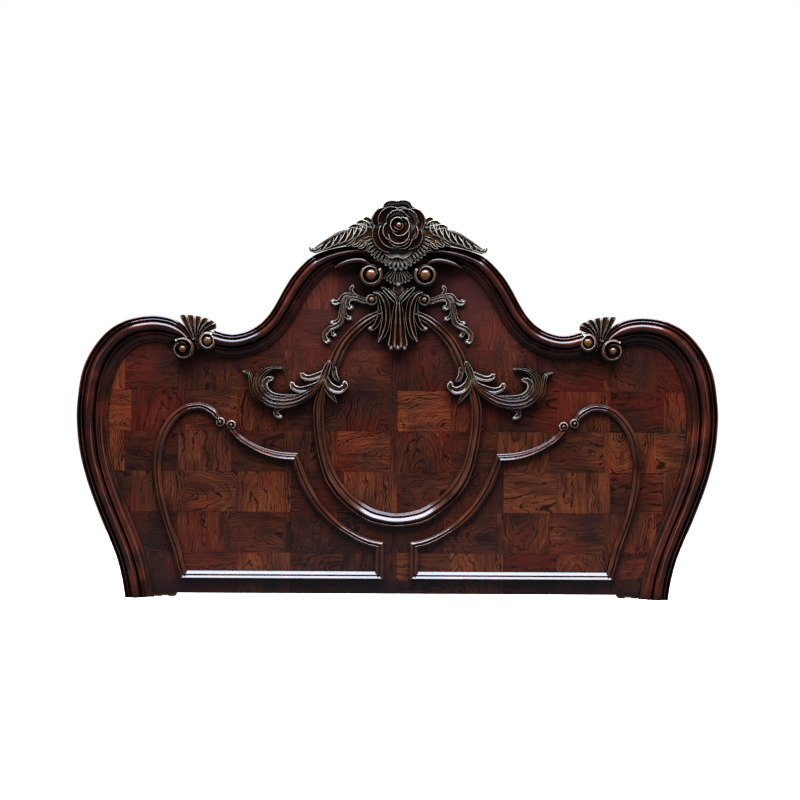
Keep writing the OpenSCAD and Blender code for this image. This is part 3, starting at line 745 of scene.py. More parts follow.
def dome(centre, radius, seat, tall, polish=0.0):
    """A turned boss: a flattened half ball on a small neck."""
    angles = np.linspace(0, math.pi / 2, ARC_STEPS)
    arc = [(radius * math.sin(a), seat + tall * math.cos(a)) for a in angles]
    return turned(centre, arc + [(radius * 0.9, seat - NECK), (0, seat - NECK)], BOSS_STEPS, polish)


# %% Scroll places from the CAD model: centre and radius of the drum, radius of the boss
SCROLLS = {
    "side": ((644, 745), 32, 12.5, VOLUTE_H), "crown": ((569, 770), 31, 15.5, VOLUTE_H),
    "big": ((81, 970), 38, 18, VOLUTE_H), "small": ((79, 896), 19, 9.5, 0.8 * PENDANT_H),
    "arch": ((532, 527), 14.5, 5, PANEL_H), "slope": ((499, 518), 14.5, 5, PANEL_H)}


def scroll(key, start, stop, radii, bead, squeeze=1.0):
    """A whole scroll but for its boss. radii are parts of the drum's radius, bead is its widths."""
    centre, radius, _, height = SCROLLS[key]
    beads = coil(centre, start, stop, [r * radius for r in radii], bead, height, squeeze)
    return joined(drum(centre, radius * 0.88 * squeeze, height * 0.6, height * 0.5),
                  carved(key, [beads], ROLL_SECTION))


# %% Pieces with scrolls
SCROLL_BEND_REACH, SMALL_SCROLL_BEND_REACH = 4.6, 5
BIG_BEAD, SMALL_BEAD, FINE_BEAD = [11, 11, 11, 10, 7, 4], [5, 5, 5, 4, 2.5], [4.4, 4.4, 4, 2.6]
FINE_RADII = [0.86, 0.86, 0.84, 0.62]
side = scroll("side", 50, 530, [1.02, 1.02, 0.99, 0.84, 0.75, 0.68, 0.48], [9, 9, 9, 8, 6.5, 5.5, 3])
pair("side_scroll", side, SCROLL_LACQUER, reach=SCROLL_BEND_REACH)
crown = scroll("crown", 125, -300, [0.8, 0.8, 0.8, 0.79, 0.7, 0.54], BIG_BEAD, 0.94)
pair("crown_scroll", crown, SCROLL_LACQUER, reach=SCROLL_BEND_REACH)
big = scroll("big", 145, 535, [0.83, 0.83, 0.83, 0.8, 0.68, 0.5], BIG_BEAD)
pair("cartouche_volute", big, SCROLL_LACQUER, reach=SCROLL_BEND_REACH)
small = scroll("small", 145, 540, [0.85, 0.85, 0.85, 0.8, 0.62], SMALL_BEAD)
pair("small_volute", small, SCROLL_LACQUER, reach=SMALL_SCROLL_BEND_REACH)
fine = [scroll("arch", 60, 420, FINE_RADII, FINE_BEAD), scroll("slope", 240, -120, FINE_RADII, FINE_BEAD)]
pair("panel_scrolls", joined(*fine), SCROLL_LACQUER, reach=SMALL_SCROLL_BEND_REACH)

bosses = [dome(c, r, h * 0.7, min(r, h * 0.3 - 0.2)) for c, _, r, h in SCROLLS.values()]
bosses += [mirrored(boss) for boss in bosses]
stand_up("turned_bosses", joined(*bosses), BOSS_LACQUER)

# %% [markdown]
# ## Acanthus sprays, sprigs and pendant
# Each leaf is a bundle of strands that leave one stem and curl away. A strand is hollowed by one or
# more gouge cuts that leave thin rims. At its tip the cuts run out and the rims wrap round, or end in
# a little ball. The spray and the sprig are thin, so their cuts are shallow and the light gets down
# into them.

# %% Fluted sections for the strands
def fluted(name, flutes, depth, rim):
    """A strand's section: so many gouge cuts between thin rims."""
    tops = [(0.0, 0.72), (0.02, 0.93)]
    for k in range(flutes):
        a, b = k / flutes, (k + 1) / flutes
        edge = rim / flutes
        for t in (0.0, 0.16, 0.5, 0.84, 1.0):
            tops.append((a + edge + (b - a - 2 * edge) * t, 1 - depth * math.sin(math.pi * t) ** 0.8))
    tops += [(0.98, 0.93), (1.0, 0.72)]
    return section_of(name, tops, steps=3)


# Deep cuts for the pendant and the crest, open ones for the thin leaves, by the number of flutes
DEEP_CUTS = {1: fluted("one flute", 1, 0.42, 0.13), 2: fluted("two flutes", 2, 0.36, 0.14),
             3: fluted("three flutes", 3, 0.3, 0.14)}
OPEN_CUTS = {1: fluted("open flute", 1, 0.27, 0.13), 2: fluted("two open flutes", 2, 0.2, 0.14),
             3: fluted("three open flutes", 3, 0.16, 0.14)}


def bundle(name, strands, height, polish=0.0, cuts=DEEP_CUTS):
    """A leaf from strands of [spine, half widths, part of the height, flutes, ball radius]."""
    shapes = []
    for spine, halves, part, flutes, ball in strands:
        line = strand(spine, halves, height * part, ball=ball)
        line["polish"] = polish
        shapes.append(carved(name, [line], cuts[flutes]))
    return joined(*shapes)


# %% Strands of the spray
SPRAY = [
    [[[206, 706], [214, 684], [222, 662], [232, 644]], [7, 12, 10], 0.9, 2, 0],
    [[[213, 694], [222, 678], [240, 667], [262, 660], [278, 662], [286, 669]], [3, 10, 8], 0.8, 1, 0],
    [[[221, 664], [238, 643], [262, 630], [290, 624], [310, 630], [317, 641]], [4, 11, 8], 0.85, 1, 0],
    [[[227, 650], [257, 620], [302, 594], [345, 586], [385, 593], [412, 619], [419, 648], [408, 672],
      [384, 688], [350, 690]], [8, 18, 4], 1.0, 3, 0],
    [[[300, 603], [345, 600], [377, 606], [394, 621], [399, 640], [391, 654], [378, 658]], [7, 12, 7],
      0.95, 1, 0],
    [[[378, 578], [413, 591], [431, 616], [437, 645], [443, 669], [462, 679]], [3, 9, 4], 0.75, 2, 0],
    [[[262, 606], [299, 587], [340, 575], [361, 566], [364, 552], [352, 543]], [5, 8, 7], 0.7, 1, 6],
    [[[215, 668], [209, 645], [194, 629], [174, 624], [158, 635], [159, 646]], [6, 13, 7], 0.9, 1, 0],
    [[[190, 690], [188, 668], [179, 654]], [6, 8, 6], 0.7, 1, 0],
    [[[220, 645], [210, 627], [196, 606], [184, 588]], [7, 9, 1.5], 0.7, 1, 0],
    [[[222, 655], [250, 628], [290, 604], [340, 593]], [5, 15, 6], 0.6, 3, 0]]
pair("acanthus_spray", bundle("spray", SPRAY, SPRAY_H, cuts=OPEN_CUTS), LEAF_LACQUER, reach=3.4)

# %% Strands of the sprig
SPRIG = [
    [[[100, 899], [118, 904], [134, 912], [141, 926], [136, 936]], [3, 4, 4], 0.8, 1, 0],
    [[[128, 906], [151, 911], [166, 905], [174, 893], [187, 886], [196, 891]], [3, 5, 6], 0.9, 1, 3.5],
    [[[160, 904], [166, 886], [171, 862], [175, 842], [186, 828], [198, 827]], [3, 4, 5], 0.8, 1, 4],
    [[[156, 900], [163, 880], [166, 852], [170, 830], [184, 817], [206, 807], [219, 792], [217, 775],
      [209, 771]], [4, 6, 6], 1.0, 1, 4],
    [[[186, 814], [195, 802], [195, 792], [189, 789]], [3, 3, 5], 0.8, 1, 3],
    [[[100, 888], [120, 896], [140, 899], [151, 889], [149, 876], [140, 872]], [4, 5, 6], 0.9, 1, 4],
    [[[160, 882], [160, 860], [154, 845], [144, 839]], [3, 3, 6], 0.8, 1, 4]]
FULLNESS = 1.3
SPRIG = [[spine, [FULLNESS * w for w in halves], *rest] for spine, halves, *rest in SPRIG]
pair("sprig", bundle("sprig", SPRIG, SPRIG_H, cuts=OPEN_CUTS), LEAF_LACQUER, reach=2.9)

# %% Strands and middle lobe of the pendant
PENDANT = [[[[57, 893], [54, 870], [55, 846], [63, 824], [74, 811], [83, 809]], [4, 8, 6.5], 0.7, 1, 6.5]]
BAND_RAILS = [
    [[74, 921], [74, 913]], [[56, 920], [62, 906]], [[39, 908], [56, 892]], [[27, 888], [52, 873]],
    [[22, 854], [49, 854]], [[23, 828], [49, 834]], [[29, 803], [53, 812]], [[40, 782], [57, 792]],
    [[56, 766], [60, 772]]]
# Half the lobe's width at each height
LOBE = [(10, 888), (16, 865), (20, 840), (22, 818), (25, 790), (29, 770), (29, 757), (22, 748), (6, 744)]
LOBE_RAILS = [[[half, y], [-half, y]] for half, y in LOBE]


def shaped(line, key, shares, values):
    """Changes one value of a line along its length: at these shares of it, times these numbers."""
    share = line["along"] / line["along"][-1]
    line[key] = line[key] * np.interp(share, shares, values)


# %% The pendant
band = railed(BAND_RAILS, PENDANT_H * 0.88)
shaped(band, "cut", [0, 0.2, 0.9, 1], [0.2, 1, 1, 0.2])
half = joined(bundle("pendant", PENDANT, PENDANT_H), carved("band", [band], DEEP_CUTS[2]))
lobe = railed(LOBE_RAILS, PENDANT_H)
shaped(lobe, "rise", [0, 0.7, 0.92, 1], [0.86, 0.92, 1.0, 0.8])
shaped(lobe, "cut", [0, 0.9, 1], [1, 1, 0])
# Three balls that hang from the lobe's flutes, left dark
toes = [dome((x, 749), 6.5, PENDANT_H * 0.72, 8, polish=-0.7) for x in (-20, 0, 20)]
pendant = joined(half, mirrored(half), carved("lobe", [lobe], DEEP_CUTS[3]), *toes)
stand_up("acanthus_pendant", pendant, WORN_LACQUER, reach=2.8)

# %% [markdown]
# ## The collar over the pendant
# Six arms, three a side and painted pale as a highlight, meet in a V that holds the pendant's head.

# %% The collar
COLLAR = [
    [[[47, 931], [33, 918], [20, 904], [4, 885]], [3.5, 6.5, 4], 0.95, 1, 0],
    [[[28, 928], [19, 915], [10, 906], [1, 902]], [2, 4, 3], 0.86, 1, 0],
    [[[20, 912], [13, 905], [6, 898], [1, 893]], [2, 3.5, 2.5], 0.82, 1, 0]]
arms = bundle("collar", COLLAR, PENDANT_H, polish=0.6)
stand_up("pendant_collar", joined(arms, mirrored(arms)), LEAF_LACQUER, reach=3)

# %% [markdown]
# ## Fans of leaflets
# The gadroons under the rose, the small petals and the palmette's ribs are one leaflet repeated on an
# arc. A second Geometry Nodes tree sets so many leaflets on the arc, each with a slightly different
# size, as hand carving gives, from a fixed seed.

# %% The fan tree
def fan_tree():
    """Sets leaflets on an arc round the bench's centre line."""
    floats = ("Centre height", "Radius", "First angle", "Last angle", "Unevenness")
    tree, node, given = empty_tree("leaflet fan", {
        "Seat": "Geometry", "Leaflet": "Object", "Finish": "Material", "Count": "Int",
        **{name: "Float" for name in floats}, "Seed": "Int"}, "Fan")
    share = node("DIVIDE", node("GeometryNodeInputIndex"), node("SUBTRACT", given["Count"], 1.0))
    angle = node("Mix", {0: share, 2: given["First angle"], 3: given["Last angle"]})
    spot = node("CombineXYZ", node("MULTIPLY", given["Radius"], node("COSINE", angle)), node(
        "MULTIPLY_ADD", given["Radius"], node("SINE", angle), given["Centre height"]))
    seats = node("GeometryNodePoints", {"Count": given["Count"], "Position": spot})
    smallest = node("SUBTRACT", 1.0, given["Unevenness"])
    size = node("FunctionNodeRandomValue", {2: smallest, 3: 1.0, "Seed": given["Seed"]}, out=1)
    leaflets = node("GeometryNodeInstanceOnPoints", {
        "Points": seats,
        "Instance": node("GeometryNodeObjectInfo", {"Object": given["Leaflet"]}, out="Geometry"),
        "Rotation": node("CombineXYZ", {"Z": angle}), "Scale": node("CombineXYZ", size, 1.0, 1.0)})
    close_tree(node, leaflets, given["Finish"])
    return tree


FAN = fan_tree()
print("leaflet fan tree:", len(FAN.nodes), "nodes")


# %% A fan and its leaflet
def fan(shape, count, centre_y, radius, first, last, uneven, seed):
    """So many copies of a leaflet shape on an arc. Angles are in degrees."""
    points, faces, flow = shape
    mesh = bpy.data.meshes.new("leaflet")
    mesh.from_pydata(points.tolist(), [], faces)
    store(mesh, "flow", flow)
    pattern = placed("leaflet", mesh)
    made = run_tree(FAN, placed("seat", bpy.data.meshes.new("seat")), {
        "Leaflet": pattern, "Finish": LACQUER, "Count": count, "Centre height": float(centre_y),
        "Radius": float(radius), "First angle": math.radians(first), "Last angle": math.radians(last),
        "Unevenness": uneven, "Seed": seed})
    bpy.data.objects.remove(pattern)
    return made


def leaflet(length, half_widths, base, rise, polish=0.0):
    """One leaflet that points along the bench's x."""
    spine = [[length * k / 3, 0] for k in range(4)]
    line = strand(spine, half_widths, rise, steps=3, base=base)
    line["polish"] = polish
    return carved("leaflet", [line], DEEP_CUTS[1])


# %% [markdown]
# ## The crest
# Twenty-three gadroons and six small petals fan out under the rose. A palmette of nine ribs with a
# turned knob hangs below them, between the big volutes.

# %% Feathers and palmette
ROSE_Y = 1105
CREST_BEND_REACH = 4.6
gadroons = fan(leaflet(30, [3.4, 5.2, 4.6], 26, 22), 23, ROSE_Y, 80, 197, 343, 0.12, 5)
# The small petals are painted a little paler all over as a highlight
petals = fan(leaflet(32, [4, 8.5, 4.5], 24, 24, polish=0.06), 6, 1040, 24, 228, 312, 0.06, 2)
bed = turned((0, ROSE_Y), [(0, 40), (82, 40), (88, 30), (88, 20), (0, 20)])
NECK_RAILS = [[[24, 1030], [-24, 1030]], [[26, 1005], [-26, 1005]], [[16, 985], [-16, 985]]]
neck = carved("neck", [railed(NECK_RAILS, 22, base=14)], DEEP_CUTS[1])
stand_up("crest_feathers", joined(bed, gadroons, petals, neck), LEAF_LACQUER, reach=CREST_BEND_REACH)

# The palmette's ribs are painted a little paler all over as a highlight
ribs = fan(leaflet(40, [2.0, 4.4, 4.0], 8, 26, polish=0.05), 9, 1000, 16, 224, 316, 0.05, 3)
knob = dome((0, 928), 20, 8, 10)
button = dome((0, 943), 7, 22, 7)
stand_up("crest_palmette", joined(ribs, knob, button), LEAF_LACQUER, reach=CREST_BEND_REACH)

# %% [markdown]
# ## The rose
# A rose is carved from the middle outwards: a bud, petals that wrap round it, and wide petals that
# lie back. Each petal is a band round the middle with a thin rolled rim on its outer side and a
# hollow behind it. Each row sits lower than the one inside.

# %% The section and the line of a petal
PETAL_FLOOR = 30.0
PETAL_DEPTH = 22.0  # from the rim to the back of the hollow
PETAL_STEP, PETAL_LEAST = 3, 12  # degrees between stations, and the fewest stations
DROOP = 0.09  # how far a petal's two ends dip
PETAL_SECTION = section_of("petal section", [
    (0.0, 0.6), (0.0, 0.86), (0.015, 0.97), (0.05, 1.0), (0.095, 0.985), (0.14, 0.92),
    (0.26, 0.83), (0.55, 0.77), (0.85, 0.76),
    (1.0, 0.78)], [(1.0, -PETAL_FLOOR), (0.0, -PETAL_FLOOR)], steps=3)


def petal(start, stop, radii, rim, centre=(0, 0), polish=0.0):
    """A petal between two angles: its rim's radii at even steps, and the rim's height."""
    count = max(int(abs(stop - start) / PETAL_STEP), PETAL_LEAST)
    t = np.linspace(0, 1, count + 1)
    angle = np.radians(start + (stop - start) * t)
    knots = smooth(np.column_stack([np.linspace(0, 1, len(radii)), radii]), 8)
    radius = np.interp(t, knots[:, 0], knots[:, 1])
    out = np.stack([np.cos(angle), np.sin(angle)], 1)
    middle = np.array((centre[0], ROSE_Y + centre[1]))
    droop = 1 - DROOP * np.abs(2 * t - 1) ** 3
    deep = np.minimum(PETAL_DEPTH, radius - 4)
    rim_line, back = out * radius[:, None], out * (radius - deep)[:, None]
    return dict(outer=flat(middle + rim_line), inner=flat(middle + back), rise=rim * droop,
                cut=np.ones(count + 1), along=length_along(rim_line), width=deep * np.ones(count + 1),
                ball=np.zeros(count + 1), polish=polish)


# %% Petals from the outside in: first angle, last angle, radii, height of the rim
PETALS = [
    (56, 129, [78, 88, 88, 84, 88, 88, 78], 60), (121, 174, [76, 85, 86, 84, 75], 60),
    (171, 249, [72, 80, 83, 82, 76], 61), (296, 359, [68, 76, 79, 76, 68], 61),
    (1, 59, [74, 84, 87, 84, 74], 60), (92, 168, [62, 71, 73, 70, 60], 67),
    (16, 84, [58, 67, 69, 66, 59], 66), (170, 268, [54, 62, 64, 63, 56], 66),
    (262, 325, [52, 60, 62, 58, 52], 64), (-42, 8, [54, 60, 61, 56], 66),
    (57, 152, [48, 55, 56, 51, 43], 71), (155, 240, [41, 46, 48, 47, 42], 72),
    (-128, -42, [46, 53, 54, 53, 46], 69), (-152, -8, [34, 42, 46, 45, 40, 31], 74)]
# The petals that wrap the bud stand a little above the rose's middle
BUD_AT = (1, 10)
BUD_PETALS = [(-135, 74, [27, 32, 33, 33, 33, 31, 26], 76), (45, 258, [17, 23, 25, 26, 26, 24, 21], 77.5),
              (190, 400, [13, 14, 14, 14, 13.5, 12], 79)]
# The lowest petal lies back furthest and is painted pale all over as a highlight
PALE_PETAL = petal(236, 300, [80, 88, 90, 84, 90, 88, 80], 57, polish=0.45)

# %% The rose
BUD_SEAT = 62
core = turned((0, ROSE_Y), [(0, 56), (24, 56), (40, 50), (55, 44), (72, 38), (80, 30), (80, 24), (0, 24)])
bud = dome((BUD_AT[0], ROSE_Y + BUD_AT[1]), 11.5, BUD_SEAT, ROSE_H - BUD_SEAT - 0.3, polish=-1.0)
rows = [petal(*row) for row in PETALS] + [petal(*row, BUD_AT) for row in BUD_PETALS] + [PALE_PETAL]
layers = [carved("petal", [row], PETAL_SECTION) for row in rows]
stand_up("crest_rose", joined(core, bud, *layers), ROSE_LACQUER, reach=4.5)

# %% [markdown]
# ## Crest and shoulder leaves
# The crest leaf runs from the rose down the crown moulding's back to a little hook. A thin double
# rim edges its top, and gouged leaflets hang from it. The shoulder leaf is a fan of five flutes
# between the two scrolls. Both stand on a slab that gives them their outline.

# %% Slabs
CHAMFER = 1.5


def slab(outline, low, high):
    """A flat plate with the given outline, with a narrow chamfer round its face."""
    line = np.array(outline, float)
    count = len(line)
    middle = line.mean(0)
    top = line + (middle - line) * (CHAMFER / np.linalg.norm(middle - line, axis=1))[:, None]
    rings = [flat(line, low), flat(line, high - CHAMFER), flat(top, high)]
    faces = [tuple(range(count))[::-1], tuple(range(2 * count, 3 * count))]
    for ring in range(2):
        for k in range(count):
            a, b = ring * count + k, ring * count + (k + 1) % count
            faces.append((a, b, b + count, a + count))
    points = np.vstack(rings)
    return points, faces, points * (1, 1, 0)


# %% Outline and strands of the crest leaf
CREST_OUTLINE = [
    [264, 1042], [256, 1040], [243, 1049], [220, 1064], [199, 1080], [180, 1090], [159, 1098],
    [149, 1106], [129, 1110], [107, 1120], [82, 1132], [70, 1118], [70, 1050], [116, 1050],
    [136, 1057], [155, 1058], [190, 1050], [223, 1041], [246, 1034]]
# Leaflets from the hook to the rose
CREST_LEAFLETS = [
    [[215, 1068], [218, 1058], [228, 1048], [250, 1036]],
    [[196, 1080], [198, 1068], [205, 1057], [221, 1047]],
    [[175, 1092], [177, 1079], [184, 1067], [199, 1055]],
    [[155, 1099], [157, 1086], [163, 1074], [176, 1062]],
    [[137, 1108], [138, 1095], [143, 1082], [156, 1068]],
    [[118, 1118], [119, 1103], [124, 1090], [136, 1076]],
    [[99, 1126], [100, 1112], [105, 1098], [116, 1086]]]
CREST_LOW = [
    [[130, 1075], [136, 1066], [144, 1060], [156, 1055]],
    [[112, 1070], [118, 1062], [126, 1056], [136, 1055]],
    [[98, 1064], [102, 1058], [108, 1052], [116, 1049]]]
CREST_TIPS = [
    [[98, 1102], [114, 1110], [132, 1114], [146, 1110]], [[84, 1112], [96, 1121], [112, 1126], [126, 1120]],
    [[80, 1124], [88, 1132], [96, 1136], [104, 1132]]]
crest = [[spine, [3, 8, 3.5], 0.95, 1, 0] for spine in CREST_LEAFLETS]
crest += [[spine, [2.5, 4.5, 3], 0.8, 1, 0] for spine in CREST_LOW]
crest += [[spine, [5, 8, 2.5], 0.9, 1, 0] for spine in CREST_TIPS]
crest += [[[[152, 1101], [166, 1097], [183, 1090], [206, 1075], [239, 1053], [250, 1045]],
           [3, 3.6, 3], 1.0, 2, 0],
          [[[236, 1045], [250, 1039], [261, 1041], [265, 1051]], [5, 4.2, 1.5], 0.9, 1, 0],
          [[[250, 1044], [255, 1045], [258, 1049]], [2, 2, 2], 0.9, 1, 2.2]]

# %% The crest leaf
CREST_BASE = 38
CREST_RISE = 17
CREST_SLAB = (26, 44)


def raised(name, strands, base, rise):
    """A bundle of strands that stands on a base above the veneer."""
    shapes = []
    for spine, halves, part, flutes, ball in strands:
        line = strand(spine, halves, rise * part, base=base)
        shapes.append(carved(name, [line], DEEP_CUTS[flutes]))
        if ball:
            shapes.append(dome(spine[-1], ball, base + rise * part - ball, ball))
    return joined(*shapes)


leaf = joined(slab(CREST_OUTLINE, *CREST_SLAB), raised("crest", crest, CREST_BASE, CREST_RISE))
pair("crest_leaf", leaf, LEAF_LACQUER, reach=4.2)

# %% Outline and ridges of the shoulder leaf
SHOULDER_OUTLINE = [
    [597, 750], [612, 778], [630, 806], [650, 843], [631, 844], [608, 843], [584, 837], [563, 831],
    [546, 819], [546, 808], [560, 802], [576, 798], [590, 785]]
# Ridges between the flutes, from the root to the tip
RIDGES = [
    [[613, 771], [627, 797], [641, 821], [653, 844]], [[607, 775], [617, 800], [626, 823], [632, 845]],
    [[604, 777], [606, 802], [607, 824], [608, 843]], [[601, 777], [598, 804], [592, 822], [585, 838]],
    [[599, 775], [590, 801], [579, 819], [563, 832]], [[597, 771], [584, 795], [567, 811], [546, 820]]]
STEM = [[[[606, 792], [605, 776], [601, 761], [596, 747]], [3, 4, 1.5], 0.8, 1, 0]]

# %% The shoulder leaf
LIP_WIDTH = 0.7  # the lip's width as a part of the flute's
LIP_OUT = 2.5


def flute(outer, inner, rise, base):
    """One gouge cut between two ridges, with a rounded lip at its tip."""
    ends = np.array([[ridge[0], ridge[-1]] for ridge in (outer, inner)], float)
    root, tip = ends.mean(0)
    out = (tip - root) / np.linalg.norm(tip - root)
    lip = [list(tip + (end - tip) * LIP_WIDTH + out * LIP_OUT) for end in ends[:, 1]]
    line = railed([list(rails) for rails in zip(outer, inner)] + [lip], rise, base=base)
    shaped(line, "cut", [0, 0.15, 0.86, 1], [0.3, 1, 1, 0.2])
    shaped(line, "rise", [0, 0.4, 0.9, 1], [0.8, 0.95, 1, 0.88])
    return carved("flute", [line], DEEP_CUTS[1])


flutes = [flute(a, b, FRAME_H * 0.48, FRAME_H * 0.5) for a, b in zip(RIDGES, RIDGES[1:])]
stem = raised("stem", STEM, FRAME_H * 0.5, FRAME_H * 0.3)
pair("shoulder_leaf", joined(slab(SHOULDER_OUTLINE, 0, FRAME_H * 0.6), *flutes, stem), LEAF_LACQUER)

# %% [markdown]
# ## The hidden timber and hardware
# The board, struts and rails keep their CAD shapes. They are planed beech, pale with short dark
# flecks. The screws and threaded inserts are bright zinc plate, and the glides are black nylon.

# %% Beech: pale and matt, in soft bands with fine dark flecks
def beech_finish():
    material, node, shader = new_finish("planed_beech")
    place = node("TexCoord", out="Object")
    bands = node("TexNoise", {
        "Vector": node("Mapping", {"Vector": place, "Scale": (6.0, 60.0, 60.0)}),
        "Scale": 1.0, "Detail": 5.0, "Roughness": 0.65, "Distortion": 0.3})
    # Beech flecks: 2 mm long and 0.5 mm wide, drawn at twice that so that they show
    flecks = node("TexNoise", {
        "Vector": node("Mapping", {"Vector": place, "Scale": (220.0, 900.0, 900.0)}),
        "Scale": 1.0, "Detail": 2.0})
    wood = node("ValToRGB", bands, stops=((0.3, "a9805a"), (0.5, "c19a6e"), (0.7, "d2ae83")))
    spots = node("MapRange", flecks, 0.6, 0.72, 0.0, 0.45)
    feed(shader, {"Base Color": coated(node, wood, (spots, "7d5636")),
                  "Roughness": node("MapRange", bands, 0.0, 1.0, 0.5, 0.68),
                  "Normal": node("Bump", {"Height": flecks, "Strength": 0.15, "Distance": 0.0003})})
    return material


# %% Zinc and nylon: a bright metal with fine crystals, and a matt black plastic
def zinc_finish():
    material, node, shader = new_finish("bright_zinc_plate")
    grains = node("TexNoise", {"Vector": node("TexCoord", out="Object"), "Scale": 600.0, "Detail": 3.0})
    feed(shader, {"Base Color": node("ValToRGB", grains, stops=((0.35, "a9aeb2"), (0.65, "cfd2d0"))),
                  "Roughness": node("MapRange", grains, 0.0, 1.0, 0.24, 0.42), "Metallic": 1.0})
    return material


def nylon_finish():
    material, node, shader = new_finish("moulded_black_nylon")
    grit = node("TexNoise", {"Vector": node("TexCoord", out="Object"), "Scale": 900.0, "Detail": 2.0})
    feed(shader, {"Base Color": node("ValToRGB", grit, stops=((0.3, "161616"), (0.7, "232323"))),
                  "Normal": node("Bump", {"Height": grit, "Strength": 0.2, "Distance": 0.0002}),
                  "Roughness": 0.5})
    return material


# %% Pieces that keep their CAD shape
def dress(name, finish):
    """A CAD node that keeps its shape gets its finish."""
    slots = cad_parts[name].data.materials
    slots.clear()
    slots.append(finish)


DRESSED = {
    beech_finish(): ("core_board", "left_strut", "right_strut", "upper_rear_rail", "lower_rear_rail"),
    zinc_finish(): ("bolt_inserts", "rear_screws"),
    nylon_finish(): ("foot_glides",),
    LACQUER: ("crest_block",)}
for finish, names in DRESSED.items():
    for name in names:
        dress(name, finish)
    print(finish.name, "on", ", ".join(names))

# %% [markdown]
# ## Parquet veneer
# The field is a chequerboard of veneer blocks about 160 by 122 mm, alternately with the grain up and
# across, cut so that many blocks show nested V figures. A block is a slice through growth rings, so
# the pattern is the distance from a slanting ring axis, cut by dark ring lines. The blocks differ in
# tone and the colour is darker towards the top. Painted shade darkens the veneer along the mouldings
# and behind the cartouche. It is made in three steps: where a point lies in its block, the dark lines
# of the rings, and the coats of stain, painted shade and lacquer.

# %% Veneer blocks
BLOCK_W, BLOCK_H, ROW_SHIFT = 0.16, 0.122, 0.02
LOWEST_JOINT = 0.013
WHOLE_ROWS, WHOLE_BLOCKS = 20.0, 40.0  # even numbers that keep the counts above 0
JOINT_W = 0.0012


def veneer_block(node, x, z):
    """A point's place along and across its block's grain, the block's chances, and its joint lines."""
    v = node("DIVIDE", node("SUBTRACT", z, LOWEST_JOINT), BLOCK_H)
    row = node("FLOOR", v)
    odd = node("MODULO", node("ADD", row, WHOLE_ROWS), 2.0)
    u = node("DIVIDE", node("ADD", x, node("MULTIPLY", odd, ROW_SHIFT)), BLOCK_W)
    column = node("FLOOR", u)
    chance = node("TexWhiteNoise", {"Vector": node("CombineXYZ", column, row)}, out=None,
                  noise_dimensions="2D")
    in_u = node("MULTIPLY", node("SUBTRACT", node("FRACT", u), 0.5), BLOCK_W)
    in_v = node("MULTIPLY", node("SUBTRACT", node("FRACT", v), 0.5), BLOCK_H)
    upright = node("MODULO", node("ADD", node("ADD", row, column), WHOLE_BLOCKS), 2.0)
    along = node("Mix", {0: upright, 2: in_u, 3: in_v})
    across = node("Mix", {0: upright, 2: in_v, 3: in_u})
    to_joint = node("MINIMUM", node("SUBTRACT", BLOCK_W / 2, node("ABSOLUTE", in_u)),
                    node("SUBTRACT", BLOCK_H / 2, node("ABSOLUTE", in_v)))
    joint = node("MapRange", to_joint, 0.0, JOINT_W, 1.0, 0.0)
    return along, across, chance, joint


# %% Growth rings
def growth_rings(node, along, across, chance, spot):
    """The dark lines of the rings, 0 to 1. Each block is cut at its own slant."""
    dice = node("SeparateXYZ", chance.outputs["Color"], out=None).outputs
    drawn_out = node("Mapping", {"Vector": spot, "Scale": (22.0, 34.0, 3.0)})
    wave = node("TexNoise", {"Vector": drawn_out, "Scale": 1.0, "Detail": 3.0, "Roughness": 0.5})
    drift = node("MULTIPLY", node("SUBTRACT", wave, 0.5), 0.032)
    # Distance from the ring axis: a steep slant gives nested Vs, an axis far off gives straight grain
    aside = node("ADD", across, node("MULTIPLY", node("SUBTRACT", dice[0], 0.5), 0.1))
    deep = node("MULTIPLY_ADD", along, node("MULTIPLY_ADD", dice[1], 1.3, -0.65), 0.034)
    away = node("SQRT", node("ADD", node("MULTIPLY", aside, aside), node("MULTIPLY", deep, deep)))
    # Rings 6 to 13 mm apart, wider than real ones so that they show
    gap = node("MULTIPLY_ADD", dice[2], 0.007, 0.006)
    years = node("DIVIDE", node("ADD", away, drift), gap)
    season = node("TexNoise", {"W": years, "Scale": 0.9, "Detail": 2.0}, noise_dimensions="1D")
    line = node("FRACT", node("ADD", years, node("MULTIPLY", season, 1.6)))
    fine = node("FRACT", node("MULTIPLY", node("ADD", years, season), 4.0))
    return node("MAXIMUM", node("MapRange", line, 0.6, 0.95), node("MULTIPLY", fine, 0.36))


# %% Parquet finish: figured red-brown blocks under a clear gloss, darker towards the crown, and painted shade by the carvings
CREST_HEIGHT = 0.985
RING_LINE, SMOKE, JOINT_LINE = "0c0504", "100705", "140907"
# A painted shadow behind the crest, and colour that is darker towards the top and the foot
CROWN_SHADE, FOOT_SHADE, CREST_SHADE = "552a27", "1c0c0c", "080303"


